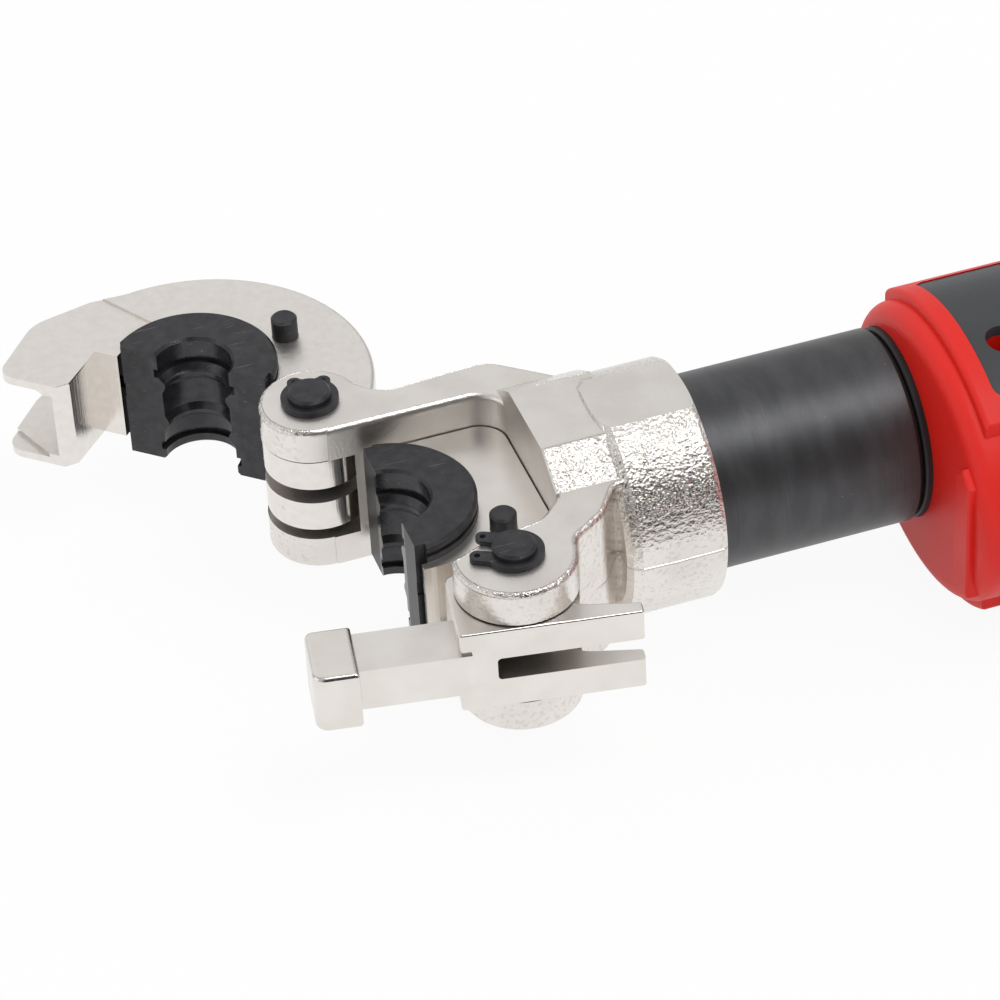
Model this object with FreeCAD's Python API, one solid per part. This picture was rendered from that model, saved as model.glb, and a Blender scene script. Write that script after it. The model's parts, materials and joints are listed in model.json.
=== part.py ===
import FreeCAD, Part
import math
import os

# Cordless pipe press tool, lying on its side with its head open.
# Millimetres. X runs along the tool towards its rear, -Y towards the handle, Z along the hinge pins.
# The origin is on the split face of the moving die, at the centre of its half bore.

# Ram travel and the plane where the two dies meet
RAM_STROKE = 16.0
CLOSING_GAP = 0.3
PRESS_X = -(RAM_STROKE + CLOSING_GAP)
JAW_OPEN_DEG = 131.5
LATCH_REST_DEG = 10.0

# General clearances
RUN_FIT = 0.05
SLIDE_GAP = 0.3

# Hinge and latch pins
HINGE_X = PRESS_X + 9.0
LATCH_X = PRESS_X + 34.5
PIN_R = 5.0
PIN_CHAMFER = 0.6
CLIP_T = 1.2
CLIP_OUT_R = 6.7
CLIP_GROOVE_DEPTH = 0.55

# Yoke
PLATE_HALF = 20.0
PIN_PROUD = 3.0
PIN_HALF = PLATE_HALF + PIN_PROUD
SLOT_HALF = 11.3
EAR_FAR_R = 12.0
EAR_NEAR_R = 14.0
EAR_FILLET = 1.4
DIE_R = 20.0
DIE_SIDE_ROOM = 2.3
WINDOW_HALF = DIE_R + DIE_SIDE_ROOM
PIN_OFFSET = WINDOW_HALF + EAR_FAR_R + SLIDE_GAP
WINDOW_REAR_X = PRESS_X + 49.8
WINDOW_CORNER_R = 7.0
CROWN_HALF = 26.0
COLLAR_START_X = PRESS_X + 63.5
COLLAR_END_X = PRESS_X + 87.3
COLLAR_R = 28.3
COLLAR_FLAT = 26.8
LATCH_ROOT_X = PRESS_X + 48.9
EAR_ROOT_GAP = 2.0

# Cylinder and ram
NECK_R = 23.0
NECK_END_X = PRESS_X + 137.0
NECK_CHAMFER = 1.2
SPIGOT_R = 19.5
SPIGOT_START_X = PRESS_X + 76.2
REAR_SPIGOT_R = 18.8
REAR_SPIGOT_L = 13.0
BORE_R = 16.5
BORE_FRONT_X = PRESS_X + 80.0
PISTON_L = 12.5
PISTON_REAR_X = PRESS_X + 131.0
ROD_R = 8.0
ROD_NOSE_R = 5.5
ROD_NOSE_L = 8.0
BUSH_R = 12.0
BUSH_START_X = PRESS_X + 62.0

# Ram holder
HOLDER_HALF = 11.0
HOLDER_FRONT_X = 1.0
HOLDER_CORNER_R = 6.7

# Dies
DIE_HALF = 15.5
DIE_NOTCH_W = 1.4
DIE_NOTCH_D = 2.4
DIE_CHAMFER = 0.7
BORE_MOUTH_R = 9.3
BORE_GROOVE_R = 10.4
BORE_RIB_R = 7.8
BORE_WAIST_R = 8.7
BORE_WAIST_TOP = 4.2
BORE_WAIST_LOW = -2.6
BORE_GROOVE_W = 2.4
BORE_PLAIN_L = 3.4
BORE_RIB_SPAN = 4.4
# Section of a pressing rib, as (radius above its land, distance from the waist)
BORE_RIB_STEPS = ((0.3, 1.1), (0.0, 1.7), (0.0, 2.7), (0.4, 3.1))
LOCK_GROOVE_Z = 3.0
LOCK_GROOVE_HALF = 1.9
LOCK_GROOVE_DEPTH = 1.7

# Swing jaw
JAW_HALF = 12.5
JAW_WALL = 21.0
JAW_BACK_R = DIE_R + JAW_WALL
JAW_BACK_X = 3.0
JAW_BACK_Y = 3.0
JAW_LUG_R = 11.8
JAW_THIN_R = 15.0
JAW_LUG_TOP = 10.9
JAW_COIL_TOP = 3.2
JAW_COIL_LOW = -0.8
JAW_LUG_LOW = -8.6
JAW_FILLET = 1.0
JAW_STEP = 0.6
HEAD_SIDE_GAP = 1.1
FORK_SLOT_HALF = 8.8
FORK_MOUTH_HALF = FORK_SLOT_HALF + 1.0
FORK_WEB_Y = -29.8
POCKET_WEB_Y = -27.5

# Latch
HEAD_HALF = FORK_SLOT_HALF - HEAD_SIDE_GAP
HEAD_FRONT = -48.0
HEAD_BACK = -37.6
HEAD_OUT = -18.8
HEAD_IN = -1.8
ARM_HALF = 5.5
ARM_OUT = -15.2
ARM_IN = -2.4
LATCH_HALF = 10.9
LATCH_OUT = -14.5
LATCH_REAR = 26.0
LATCH_FRONT = -15.4
LATCH_BOSS_R = 8.9
LATCH_SLOT_HALF = 3.0
LATCH_SLOT_START = -6.9
PRONG_T = 3.4

# Die lock buttons and plungers
BUTTON_R = 3.1
BUTTON_NECK_R = 1.3
BUTTON_NECK_L = 1.3
BUTTON_SLOPE = 0.4
PLUNGER_R = 1.5
PLUNGER_NIB_L = 1.2
JAW_BUTTON = (-DIE_R - 0.3, DIE_R - 5.5)
JAW_BUTTON_TOP = 18.0
RAM_BUTTON = (DIE_R + 2.0, 5.0 - DIE_R)
RAM_BUTTON_TOP = 15.6

# Housing
BODY_X = PRESS_X + 139.0
BODY_Y = -13.0
BODY_A = 40.0
BODY_B = 33.0
BODY_L = 152.0
BODY_WALL = 2.8
FRAME_RISE = 2.5
FRAME_FRONT = 4.5
FRAME_NEAR_Y = -41.0
FRAME_FAR_Y = 17.0
FRAME_BAND = 5.0
FRAME_REAR = BODY_L - 12.0
PANEL_T = 3.0
PANEL_FRONT = 9.3
PANEL_REAR = FRAME_REAR - 14.0
PANEL_CORNER = 3.0
PANEL_GAP = 0.15
PANEL_SINK = 0.3
NOSE_RIB_NEAR_Y = -45.8
NOSE_RIB_FAR_Y = -38.4
NOSE_RIB_HALF = 17.4
NOSE_RIB_POINT = 3.4
NOSE_RIB_RISE = 1.6
OPENING_R = 22.8
FRONT_WALL = 4.6
RING_NOSE_R = 4.5
TAIL_ROUND = 10.0
RIB_T = 2.5
RIB_LOW_Y = -42.0
VENT_COUNT = 5
VENT_FIRST = BODY_L - 48.0
VENT_PITCH = 6.0
VENT_W = 2.4
VENT_Z = 9.0

# Handle and battery
HANDLE_B = 118.0
HANDLE_A = 21.0
HANDLE_HALF = 17.0
HANDLE_RAKE = 14.0
HANDLE_TOP_Y = -44.0
HANDLE_LOW_Y = -150.0
HANDLE_ROUND = 9.0
PAD_TOP_Y = -60.0
PAD_LOW_Y = -138.0
PAD_WRAP = 12.0
PAD_RISE = 1.2
PAD_DEPTH = 1.3
FOOT_FRONT = HANDLE_B - 38.0
FOOT_REAR = HANDLE_B + 64.0
FOOT_TOP_Y = -144.0
FOOT_LOW_Y = -164.0
FOOT_HALF = 33.0
LENS_R = 4.5
LENS_Y = -150.5
PACK_LOW_Y = -221.0
PACK_SPLIT_Y = -194.0
PACK_HALF = 35.5
PACK_WALL = 2.5
RAIL_DEPTH = 7.0
RAIL_HALF = 22.0
LIP_T = 3.0
CHANNEL_REAR = FOOT_REAR - 10.0
BLADE_Z = 8.0
LOCK_LOW_Y = -179.0
LOCK_TOP_Y = -167.5
LOCK_HALF = 10.0
LOCK_TRAVEL = 4.0
CELL_R = 9.1
CELL_HALF = 32.5
TRIGGER_TOP_Y = -57.0
TRIGGER_LOW_Y = -87.0
TRIGGER_HALF = 7.5
TRIGGER_REAR = HANDLE_B - 13.0
TRIGGER_BORE_R = 3.6
TRIGGER_BORE_L = 7.0
TRIGGER_TRAVEL = 6.0
SWITCH_FRONT = HANDLE_B - 5.5
SWITCH_L = 16.0
BOARD_B = HANDLE_B
BOARD_TOP_Y = -94.0
BOARD_LOW_Y = -140.0

# Drive
BLOCK_R = 23.4
BLOCK_START = 5.0
BLOCK_FRONT = 14.0
BLOCK_REAR = 52.0
POCKET_R = 14.0
POCKET_FRONT = 38.0
ECC_OFFSET = 1.0
ECC_R = 8.0
BEARING_R = 10.0
SHAFT_R = 5.0
STUB_R = 4.0
GEAR_MODULE = 0.8
SUN_TEETH = 12
PLANET_TEETH = 15
RING_TEETH = SUN_TEETH + 2 * PLANET_TEETH
PLANET_COUNT = 3
GEAR_FACE = 8.0
GEAR_B = 68.0
CARRIER_B = 60.0
POST_R = 2.0
TOOTH_SHARE = 0.36
ROOT_SHARE = 1.1
TIP_SHARE = 0.85
CASE_REAR = 84.0
CASE_R = 22.0
MOTOR_REAR = BODY_L - 16.0
MOTOR_R = 21.5
MOTOR_INNER_R = 17.5
MOTOR_SHAFT_R = 2.5
STUB_FRONT = 34.0
LOBE_B = 44.0
PLUNGER_BORE_R = 3.45
PLUNGER_TOP_Y = 16.0
PLUNGER_END_Y = 21.5
VALVE_B = 27.0
RELIEF_R = 4.0
RELIEF_Z = 12.0
RELEASE_B = 26.0
RELEASE_R = 6.0
RELEASE_OUT_Y = -56.0
RELEASE_IN_Y = -47.0
RELEASE_TRAVEL = 4.0
STEM_R = 2.6
STEM_OUT_Y = RELEASE_IN_Y + RELEASE_TRAVEL + 0.3
STEM_END_Y = -14.5
NIPPLE_R = 3.0
NIPPLE_B = 42.0
NIPPLE_Y = -19.0
BAG_FRONT = 35.0
BAG_REAR = 64.0

# Ribs in the shells, as (place, radius of what they hold), and the housing screws, as (place, y)
RIBS = ((8.0, BLOCK_R), (31.0, BLOCK_R), (66.0, CASE_R), (79.0, CASE_R), (96.0, MOTOR_R),
        (MOTOR_REAR - 8.0, MOTOR_R))
SCREWS = ((17.0, -21.5), (CASE_REAR + 4.0, -29.5), (MOTOR_REAR - 2.0, -31.0), (HANDLE_B + 22.0, -112.0),
          (FOOT_FRONT + 15.0, LENS_Y), (FOOT_REAR - 14.0, LENS_Y))
SCREW_R = 1.9
SCREW_HEAD_R = 3.4
SCREW_BOSS_R = 5.4
SCREW_SEAT = 6.0
SCREW_DEPTH = 12.0
RECESS_R = 4.0

V = FreeCAD.Vector
X_AXIS = V(1, 0, 0)
Y_AXIS = V(0, 1, 0)
Z_AXIS = V(0, 0, 1)


def box(x0, x1, y0, y1, z0, z1):
    """Box between two corners."""
    return Part.makeBox(x1 - x0, y1 - y0, z1 - z0, V(x0, y0, z0))


def rod_z(r, x, y, z0, z1):
    """Round rod along Z."""
    return Part.makeCylinder(r, z1 - z0, V(x, y, z0), Z_AXIS)


def rod_x(r, x0, x1, y=0.0, z=0.0):
    """Round rod along X."""
    return Part.makeCylinder(r, x1 - x0, V(x0, y, z), X_AXIS)


def rod_y(r, x, y0, y1, z=0.0):
    """Round rod along Y."""
    return Part.makeCylinder(r, y1 - y0, V(x, y0, z), Y_AXIS)


def tube_x(r_out, r_in, x0, x1, y=0.0, z=0.0):
    """Tube along X."""
    return rod_x(r_out, x0, x1, y, z).cut(rod_x(r_in, x0 - 1, x1 + 1, y, z))


def tube_z(r_out, r_in, x, y, z0, z1):
    """Tube along Z."""
    return rod_z(r_out, x, y, z0, z1).cut(rod_z(r_in, x, y, z0 - 1, z1 + 1))


def oval_x(a, b, x0, x1, y=0.0):
    """Elliptical bar along X, with half width a in Y and half height b in Z."""
    major, minor = (Y_AXIS, Z_AXIS) if a > b else (Z_AXIS, Y_AXIS)
    centre = V(x0, y, 0)
    curve = Part.Ellipse(centre + major * max(a, b), centre + minor * min(a, b), centre)
    return Part.Face(Part.Wire([curve.toShape()])).extrude(V(x1 - x0, 0, 0))


def rounded_wire(points, to3d):
    """Closed wire through (u, v, corner radius) points; each corner is a tangent arc."""
    edges = []
    ends = []
    count = len(points)
    for i in range(count):
        u, v, radius = points[i]
        before = V(*points[i - 1][:2], 0)
        after = V(*points[(i + 1) % count][:2], 0)
        corner = V(u, v, 0)
        if radius == 0:
            ends.append((corner, None, corner))
            continue
        to_before = (before - corner).normalize()
        to_after = (after - corner).normalize()
        half = to_before.getAngle(to_after) / 2
        reach = radius / math.tan(half)
        middle = (to_before + to_after).normalize()
        centre = corner + middle * (radius / math.sin(half))
        ends.append((corner + to_before * reach, centre - middle * radius, corner + to_after * reach))
    for i in range(count):
        start, mid, end = ends[i]
        if mid is not None:
            edges.append(Part.Arc(to3d(start), to3d(mid), to3d(end)).toShape())
        following = ends[(i + 1) % count][0]
        if (following - end).Length > 1e-6:
            edges.append(Part.LineSegment(to3d(end), to3d(following)).toShape())
    return Part.Wire(edges)


def plate(points, z0, z1):
    """Flat plate in XY with rounded corners."""
    wire = rounded_wire(points, lambda p: V(p.x, p.y, z0))
    return Part.Face(wire).extrude(V(0, 0, z1 - z0))


def bar_x(points, x0, x1):
    """Bar along X from a YZ section with rounded corners."""
    wire = rounded_wire(points, lambda p: V(x0, p.x, p.y))
    return Part.Face(wire).extrude(V(x1 - x0, 0, 0))


def turned_z(profile, x=0.0, y=0.0):
    """Solid of revolution about a Z axis from (radius, z) points."""
    points = [V(x + r, y, z) for r, z in profile]
    wire = Part.makePolygon(points + [points[0]])
    return Part.Face(wire).revolve(V(x, y, 0), Z_AXIS, 360)


def turned_x(profile):
    """Solid of revolution about the X axis from (x, radius) points."""
    points = [V(x, 0, r) for x, r in profile]
    wire = Part.makePolygon(points + [points[0]])
    return Part.Face(wire).revolve(V(0, 0, 0), X_AXIS, 360)


def fuse(shapes):
    """One clean solid from overlapping or touching solids."""
    first = shapes[0]
    for other in shapes[1:]:
        first = first.fuse(other)
    return first.removeSplitter()


def cut(shape, tools):
    """Shape less each tool."""
    for tool in tools:
        shape = shape.cut(tool)
    return shape


def turn_z(shape, degrees, x, y):
    """Copy turned about a Z axis through (x, y)."""
    copy = shape.copy()
    copy.rotate(V(x, y, 0), Z_AXIS, degrees)
    return copy


def mirror_z(shape):
    """Mirror image below the mid plane."""
    return shape.mirror(V(0, 0, 0), Z_AXIS)


def soften(shape, radius, chooser):
    """Fillet the edges that the chooser accepts."""
    chosen = [edge for edge in shape.Edges if chooser(edge)]
    return shape.makeFillet(radius, chosen)


def level_edge(height):
    """Chooser for edges that lie flat at plus or minus a height."""
    def check(edge):
        bounds = edge.BoundBox
        return bounds.ZLength < 1e-3 and abs(abs(bounds.ZMin) - height) < 1e-3
    return check


def upright_edge(x, y):
    """Chooser for upright edges within a millimetre or so of a place."""
    def check(edge):
        bounds = edge.BoundBox
        upright = bounds.XLength < 1e-3 and bounds.YLength < 1e-3
        return upright and math.hypot(bounds.XMin - x, bounds.YMin - y) < 1.5
    return check


def coil(mean_r, wire_r, pitch, turns, place):
    """Round wire wound into a helix along local Z, then placed."""
    path = Part.makeLongHelix(pitch, pitch * turns, mean_r)
    section = Part.Wire([Part.Circle(V(mean_r, 0, 0), V(0, 1, 0), wire_r).toShape()])
    sweep = Part.Wire(path).makePipeShell([section], True, True)
    sweep.Placement = place
    return sweep


def along(axis, origin):
    """Placement that stands local Z along an axis at an origin."""
    return FreeCAD.Placement(origin, FreeCAD.Rotation(Z_AXIS, axis))


# Head pieces. Jaw pieces are drawn closed and then swung open.

def opened(shape):
    """Jaw piece swung from its closed place to rest."""
    return turn_z(shape, -JAW_OPEN_DEG, HINGE_X, PIN_OFFSET)


def latched(shape):
    """Latch piece turned from its own frame to rest."""
    placed = turn_z(shape, -LATCH_REST_DEG, 0, 0)
    placed.translate(V(LATCH_X, -PIN_OFFSET, 0))
    return placed


def yoke():
    """Two pairs of ears round a window, with a crown and a collar for the cylinder."""
    back = COLLAR_START_X + 4
    ear_edge = LATCH_X + EAR_NEAR_R
    outline = [(HINGE_X, WINDOW_HALF, 0), (HINGE_X, PIN_OFFSET + 5, 0), (HINGE_X + 8.5, PIN_OFFSET + 6.4, 0),
               (HINGE_X + 16.5, PIN_OFFSET - 2.4, 7), (WINDOW_REAR_X + 1.2, PIN_OFFSET - 0.8, 10),
               (back, 20, 0), (back, -20, 0), (COLLAR_START_X - 0.7, -20.5, 3), (ear_edge + 9, -PIN_OFFSET + 6.1, 6),
               (ear_edge - 1.5, -PIN_OFFSET - 0.9, 0), (LATCH_X, -PIN_OFFSET - 4, 0),
               (LATCH_X - 9, -PIN_OFFSET + 4, 0), (LATCH_X, -20, 0)]
    body = plate(outline, -PLATE_HALF, PLATE_HALF)
    far_ear = rod_z(EAR_FAR_R, HINGE_X, PIN_OFFSET, -PLATE_HALF, PLATE_HALF)
    near_ear = rod_z(EAR_NEAR_R, LATCH_X, -PIN_OFFSET, -PLATE_HALF, PLATE_HALF)
    window = [(HINGE_X - 20, WINDOW_HALF, 0), (WINDOW_REAR_X, WINDOW_HALF, WINDOW_CORNER_R),
              (WINDOW_REAR_X, -WINDOW_HALF + 2.8, 5), (WINDOW_REAR_X - 6.3, -WINDOW_HALF - 2.9, 6),
              (LATCH_X - 4.5, -WINDOW_HALF - 5.1, 6), (LATCH_X - 14, -WINDOW_HALF - 9.2, 0),
              (HINGE_X - 20, -WINDOW_HALF - 9.2, 0)]
    body = fuse([body, far_ear, near_ear])
    body = soften(body, 4, upright_edge(ear_edge - 0.2, -PIN_OFFSET))
    body = body.cut(plate(window, -PLATE_HALF - 1, PLATE_HALF + 1))
    body = soften(body, EAR_FILLET, level_edge(PLATE_HALF))
    crown = bar_x([(-18.7, -PLATE_HALF, 0), (-9.4, -CROWN_HALF, 3), (13, -CROWN_HALF, 3), (22, -PLATE_HALF, 0),
                   (22, PLATE_HALF, 0), (13, CROWN_HALF, 3), (-9.4, CROWN_HALF, 3), (-18.7, PLATE_HALF, 0)],
                  WINDOW_REAR_X, COLLAR_START_X + 6)
    collar = turned_x([(COLLAR_START_X, 0), (COLLAR_START_X, COLLAR_R - 3), (COLLAR_START_X + 1, COLLAR_R - 1),
                       (COLLAR_START_X + 3, COLLAR_R), (COLLAR_END_X - 1.6, COLLAR_R),
                       (COLLAR_END_X - 0.5, COLLAR_R - 0.5), (COLLAR_END_X, COLLAR_R - 1.6), (COLLAR_END_X, 0)])
    collar = collar.common(box(COLLAR_START_X, COLLAR_END_X, -40, 40, -COLLAR_FLAT, COLLAR_FLAT))
    body = fuse([body, crown, collar])
    jaw_slot = fuse([rod_z(JAW_LUG_R + EAR_ROOT_GAP, HINGE_X, PIN_OFFSET, -SLOT_HALF, SLOT_HALF),
                     box(HINGE_X - 20, HINGE_X, 20, 60, -SLOT_HALF, SLOT_HALF)])
    latch_slot = box(LATCH_X - 30, LATCH_ROOT_X, -60, -22, -SLOT_HALF, SLOT_HALF)
    neck_bore = rod_x(SPIGOT_R + RUN_FIT, SPIGOT_START_X - 0.2, COLLAR_END_X + 1)
    bush_bore = rod_x(BUSH_R + RUN_FIT, BUSH_START_X, SPIGOT_START_X)
    rod_bore = rod_x(ROD_R + 0.6, WINDOW_REAR_X - 1, BUSH_START_X + 1)
    pins = [rod_z(PIN_R + RUN_FIT, HINGE_X, PIN_OFFSET, -40, 40),
            rod_z(PIN_R + RUN_FIT, LATCH_X, -PIN_OFFSET, -40, 40)]
    return cut(body, [jaw_slot, latch_slot, neck_bore, bush_bore, rod_bore] + pins)


def hinge_pin(x, y):
    """Pin with a circlip groove near each end."""
    groove_in = PLATE_HALF + 0.1
    groove_out = groove_in + CLIP_T + 0.1
    neck = PIN_R - CLIP_GROOVE_DEPTH
    upper = [(0, PIN_HALF), (PIN_R - PIN_CHAMFER, PIN_HALF), (PIN_R, PIN_HALF - PIN_CHAMFER),
             (PIN_R, groove_out), (neck, groove_out), (neck, groove_in), (PIN_R, groove_in)]
    lower = [(r, -z) for r, z in reversed(upper)]
    return turned_z(upper + lower, x, y)


def circlip(x, y, z0, angle, ears_out):
    """Open ring with two eyes; ears_out says how far the eyes stand off."""
    inner = PIN_R - CLIP_GROOVE_DEPTH + RUN_FIT
    ring = tube_z(CLIP_OUT_R, inner, x, y, z0, z0 + CLIP_T)
    gap = box(x, x + 12, y - 1.5, y + 1.5, z0 - 1, z0 + 3)
    eyes = []
    for side in (-1, 1):
        eye = fuse([rod_z(1.7, x + CLIP_OUT_R + ears_out, y + side * 3.3, z0, z0 + CLIP_T),
                    box(x + CLIP_OUT_R - 2.2, x + CLIP_OUT_R + ears_out, y + side * 3.3 - 1.7,
                        y + side * 3.3 + 1.7, z0, z0 + CLIP_T)])
        eyes.append(eye.cut(rod_z(0.7, x + CLIP_OUT_R + ears_out, y + side * 3.3, z0 - 1, z0 + 3)))
    clip = fuse([ring.cut(gap)] + eyes).cut(rod_z(inner, x, y, z0 - 1, z0 + 3))
    return turn_z(clip, angle, x, y)


def circlips():
    """Four circlips, one at each end of the two pins."""
    top = PLATE_HALF + 0.15
    low = -top - CLIP_T
    far = [circlip(HINGE_X, PIN_OFFSET, z, 75, -1.2) for z in (top, low)]
    near = [circlip(LATCH_X, -PIN_OFFSET, z, 150, 1.0) for z in (top, low)]
    return Part.makeCompound(far + near)


def bore_profile():
    """Radius and height points of the stepped pressing bore, from top to bottom."""
    top_groove = BORE_WAIST_TOP + BORE_RIB_SPAN
    low_groove = BORE_WAIST_LOW - BORE_RIB_SPAN - BORE_PLAIN_L
    points = [(BORE_MOUTH_R + DIE_CHAMFER, DIE_HALF), (BORE_MOUTH_R, DIE_HALF - DIE_CHAMFER),
              (BORE_MOUTH_R, top_groove + BORE_GROOVE_W), (BORE_GROOVE_R, top_groove + BORE_GROOVE_W),
              (BORE_GROOVE_R, top_groove), (BORE_MOUTH_R, top_groove)]
    for rise, height in reversed(BORE_RIB_STEPS):
        points.append((BORE_RIB_R + rise, BORE_WAIST_TOP + height))
    points += [(BORE_WAIST_R, BORE_WAIST_TOP), (BORE_WAIST_R, BORE_WAIST_LOW)]
    for rise, height in BORE_RIB_STEPS:
        points.append((BORE_RIB_R + rise, BORE_WAIST_LOW - height))
    points += [(BORE_MOUTH_R, BORE_WAIST_LOW - BORE_RIB_SPAN), (BORE_MOUTH_R, low_groove),
               (BORE_GROOVE_R, low_groove), (BORE_GROOVE_R, low_groove - BORE_GROOVE_W),
               (BORE_MOUTH_R, low_groove - BORE_GROOVE_W), (BORE_MOUTH_R, -DIE_HALF + DIE_CHAMFER),
               (BORE_MOUTH_R + DIE_CHAMFER, -DIE_HALF)]
    return points


def die_half():
    """Half die on the +X side of the plane X = 0, with its stepped bore and lock groove."""
    groove_low = LOCK_GROOVE_Z - LOCK_GROOVE_HALF
    groove_top = LOCK_GROOVE_Z + LOCK_GROOVE_HALF
    deep = DIE_R - LOCK_GROOVE_DEPTH
    outside = [(0, -DIE_HALF), (DIE_R - DIE_CHAMFER, -DIE_HALF), (DIE_R, -DIE_HALF + DIE_CHAMFER),
               (DIE_R, groove_low), (deep, groove_low), (deep, groove_top), (DIE_R, groove_top),
               (DIE_R, 12.4), (DIE_R - 0.5, 12.4), (DIE_R - 0.5, 13.6), (DIE_R, 13.6),
               (DIE_R, DIE_HALF - DIE_CHAMFER), (DIE_R - DIE_CHAMFER, DIE_HALF), (0, DIE_HALF)]
    body = turned_z(outside)
    steps = bore_profile()
    bore = turned_z([(0, DIE_HALF + 1), (steps[0][0], DIE_HALF + 1)] + steps
                    + [(steps[-1][0], -DIE_HALF - 1), (0, -DIE_HALF - 1)])
    half = body.cut(bore).common(box(0, 2 * DIE_R, -DIE_R, DIE_R, -DIE_HALF, DIE_HALF))
    for side in (-1, 1):
        outer = side * DIE_R
        inner = side * (DIE_R - DIE_NOTCH_W)
        half = half.cut(box(-1, DIE_NOTCH_D, min(outer, inner), max(outer, inner), -20, 20))
    return half


def fixed_die():
    """Die half in the jaw, facing the other way."""
    half = turn_z(die_half(), 180, 0, 0)
    half.translate(V(PRESS_X, 0, 0))
    return opened(half)


def jaw():
    """Hook-shaped jaw with a die seat, two hinge lugs and a forked tip."""
    back = rod_z(JAW_BACK_R, PRESS_X + JAW_BACK_X, JAW_BACK_Y, -JAW_HALF, JAW_HALF)
    back = soften(back, JAW_FILLET, level_edge(JAW_HALF))
    keep = plate([(PRESS_X - 60, 60, 0), (PRESS_X - 60, -34, 0), (PRESS_X - 10, -34, 0), (PRESS_X - 0.6, -25.7, 0),
                  (PRESS_X - 0.6, 24, 0), (HINGE_X, 26, 0), (HINGE_X, 60, 0)], -JAW_HALF, JAW_HALF)
    tip = plate([(PRESS_X - 0.6, -20.5, 0), (PRESS_X - 0.6, -25.7, 0), (PRESS_X + 12.4, -26.2, 0.8),
                 (PRESS_X + 14.9, -28.6, 0.8), (PRESS_X + 14.9, -43.8, 4), (PRESS_X - 5.0, -44.6, 10),
                 (PRESS_X - 17.5, -35.5, 0), (PRESS_X - 27, -24, 0), (PRESS_X - 22, -16, 0)],
                -JAW_HALF, JAW_HALF)
    tip = soften(tip, JAW_FILLET, outer_tip_edge)
    lug = rod_z(JAW_LUG_R, HINGE_X, PIN_OFFSET, JAW_LUG_LOW, JAW_LUG_TOP)
    body = fuse([back.common(keep), tip])
    body = body.cut(rod_z(DIE_R + RUN_FIT, PRESS_X, 0, -20, 20))
    body = fuse([body.cut(rod_z(JAW_LUG_R - 1, HINGE_X, PIN_OFFSET, -20, 20)), lug])
    thin = rod_z(JAW_THIN_R, HINGE_X, PIN_OFFSET, JAW_LUG_TOP, 20)
    under = fuse([rod_z(JAW_THIN_R, HINGE_X, PIN_OFFSET, -20, -JAW_LUG_TOP),
                  rod_z(JAW_LUG_R + 0.4, HINGE_X, PIN_OFFSET, -20, JAW_LUG_LOW)])
    coil_gap = rod_z(JAW_LUG_R + 0.4, HINGE_X, PIN_OFFSET, JAW_COIL_LOW, JAW_COIL_TOP)
    pin_hole = rod_z(PIN_R + RUN_FIT, HINGE_X, PIN_OFFSET, -20, 20)
    slot = box(PRESS_X - 2, PRESS_X + 20, -60, FORK_WEB_Y, -FORK_SLOT_HALF, FORK_SLOT_HALF)
    pocket = box(PRESS_X - 15.6, PRESS_X - 2, -60, POCKET_WEB_Y, -FORK_SLOT_HALF, FORK_SLOT_HALF)
    mouth = plate([(PRESS_X + 16, FORK_WEB_Y - 0.5, 0), (PRESS_X + 16, -52, 0), (PRESS_X + 4.5, -52, 0)],
                  -FORK_MOUTH_HALF, FORK_MOUTH_HALF)
    step = plate([(PRESS_X - 21, -38.5, 0), (PRESS_X - 13, -12, 0), (PRESS_X + 5, -12, 0),
                  (PRESS_X + 20, -25, 0), (PRESS_X + 20, -50, 0), (PRESS_X - 21, -50, 0)],
                 JAW_HALF - JAW_STEP, JAW_HALF + 3)
    body = cut(body, [thin, under, coil_gap, pin_hole, slot, pocket, mouth, step, mirror_z(step)])
    return opened(body.cut(lock_channel(JAW_BUTTON, -1)))


def outer_tip_edge(edge):
    """Chooser for the flat edges on the outside of the jaw's tip."""
    middle = edge.CenterOfMass
    return level_edge(JAW_HALF)(edge) and middle.y < -29


def latch():
    """Hammer-headed hook with a slotted block that turns on the latch pin."""
    head = plate([(HEAD_FRONT, HEAD_OUT, 3), (HEAD_BACK, HEAD_OUT, 0.6), (HEAD_BACK, HEAD_IN, 0.6),
                  (HEAD_FRONT, HEAD_IN, 2)], -HEAD_HALF, HEAD_HALF)
    head = soften(head, 1.2, level_edge(HEAD_HALF))
    arm = box(HEAD_BACK - 1, LATCH_FRONT + 3, ARM_OUT, ARM_IN, -ARM_HALF, ARM_HALF)
    front = plate([(LATCH_FRONT, LATCH_OUT, 1), (0, LATCH_OUT, 0), (0, LATCH_BOSS_R - 0.1, 0),
                   (-9.5, LATCH_BOSS_R - 0.1, 2), (LATCH_FRONT, 5.5, 2)], -LATCH_HALF, LATCH_HALF)
    handle = plate([(-1, LATCH_OUT, 0), (LATCH_REAR, LATCH_OUT, 0.8), (LATCH_REAR, LATCH_OUT + PRONG_T, 0.8),
                    (12, -9.0, 8), (7, -3, 0), (-1, -3, 0)], -LATCH_HALF, LATCH_HALF)
    boss = rod_z(LATCH_BOSS_R, 0, 0, -LATCH_HALF, LATCH_HALF)
    body = fuse([front, handle, boss])
    body = soften(body, 0.5, level_edge(LATCH_HALF))
    slot_start = LATCH_SLOT_START
    slot = box(slot_start + 1, LATCH_REAR + 2, -20, 12, -LATCH_SLOT_HALF, LATCH_SLOT_HALF)
    slot = fuse([slot, box(slot_start, slot_start + 2, -20, 12, -LATCH_SLOT_HALF + 1, LATCH_SLOT_HALF - 1),
                 rod_y(1, slot_start + 1, -20, 12, LATCH_SLOT_HALF - 1),
                 rod_y(1, slot_start + 1, -20, 12, -LATCH_SLOT_HALF + 1)])
    body = fuse([body, arm, head])
    return latched(cut(body, [slot, rod_z(PIN_R + RUN_FIT, 0, 0, -20, 20)]))


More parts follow.
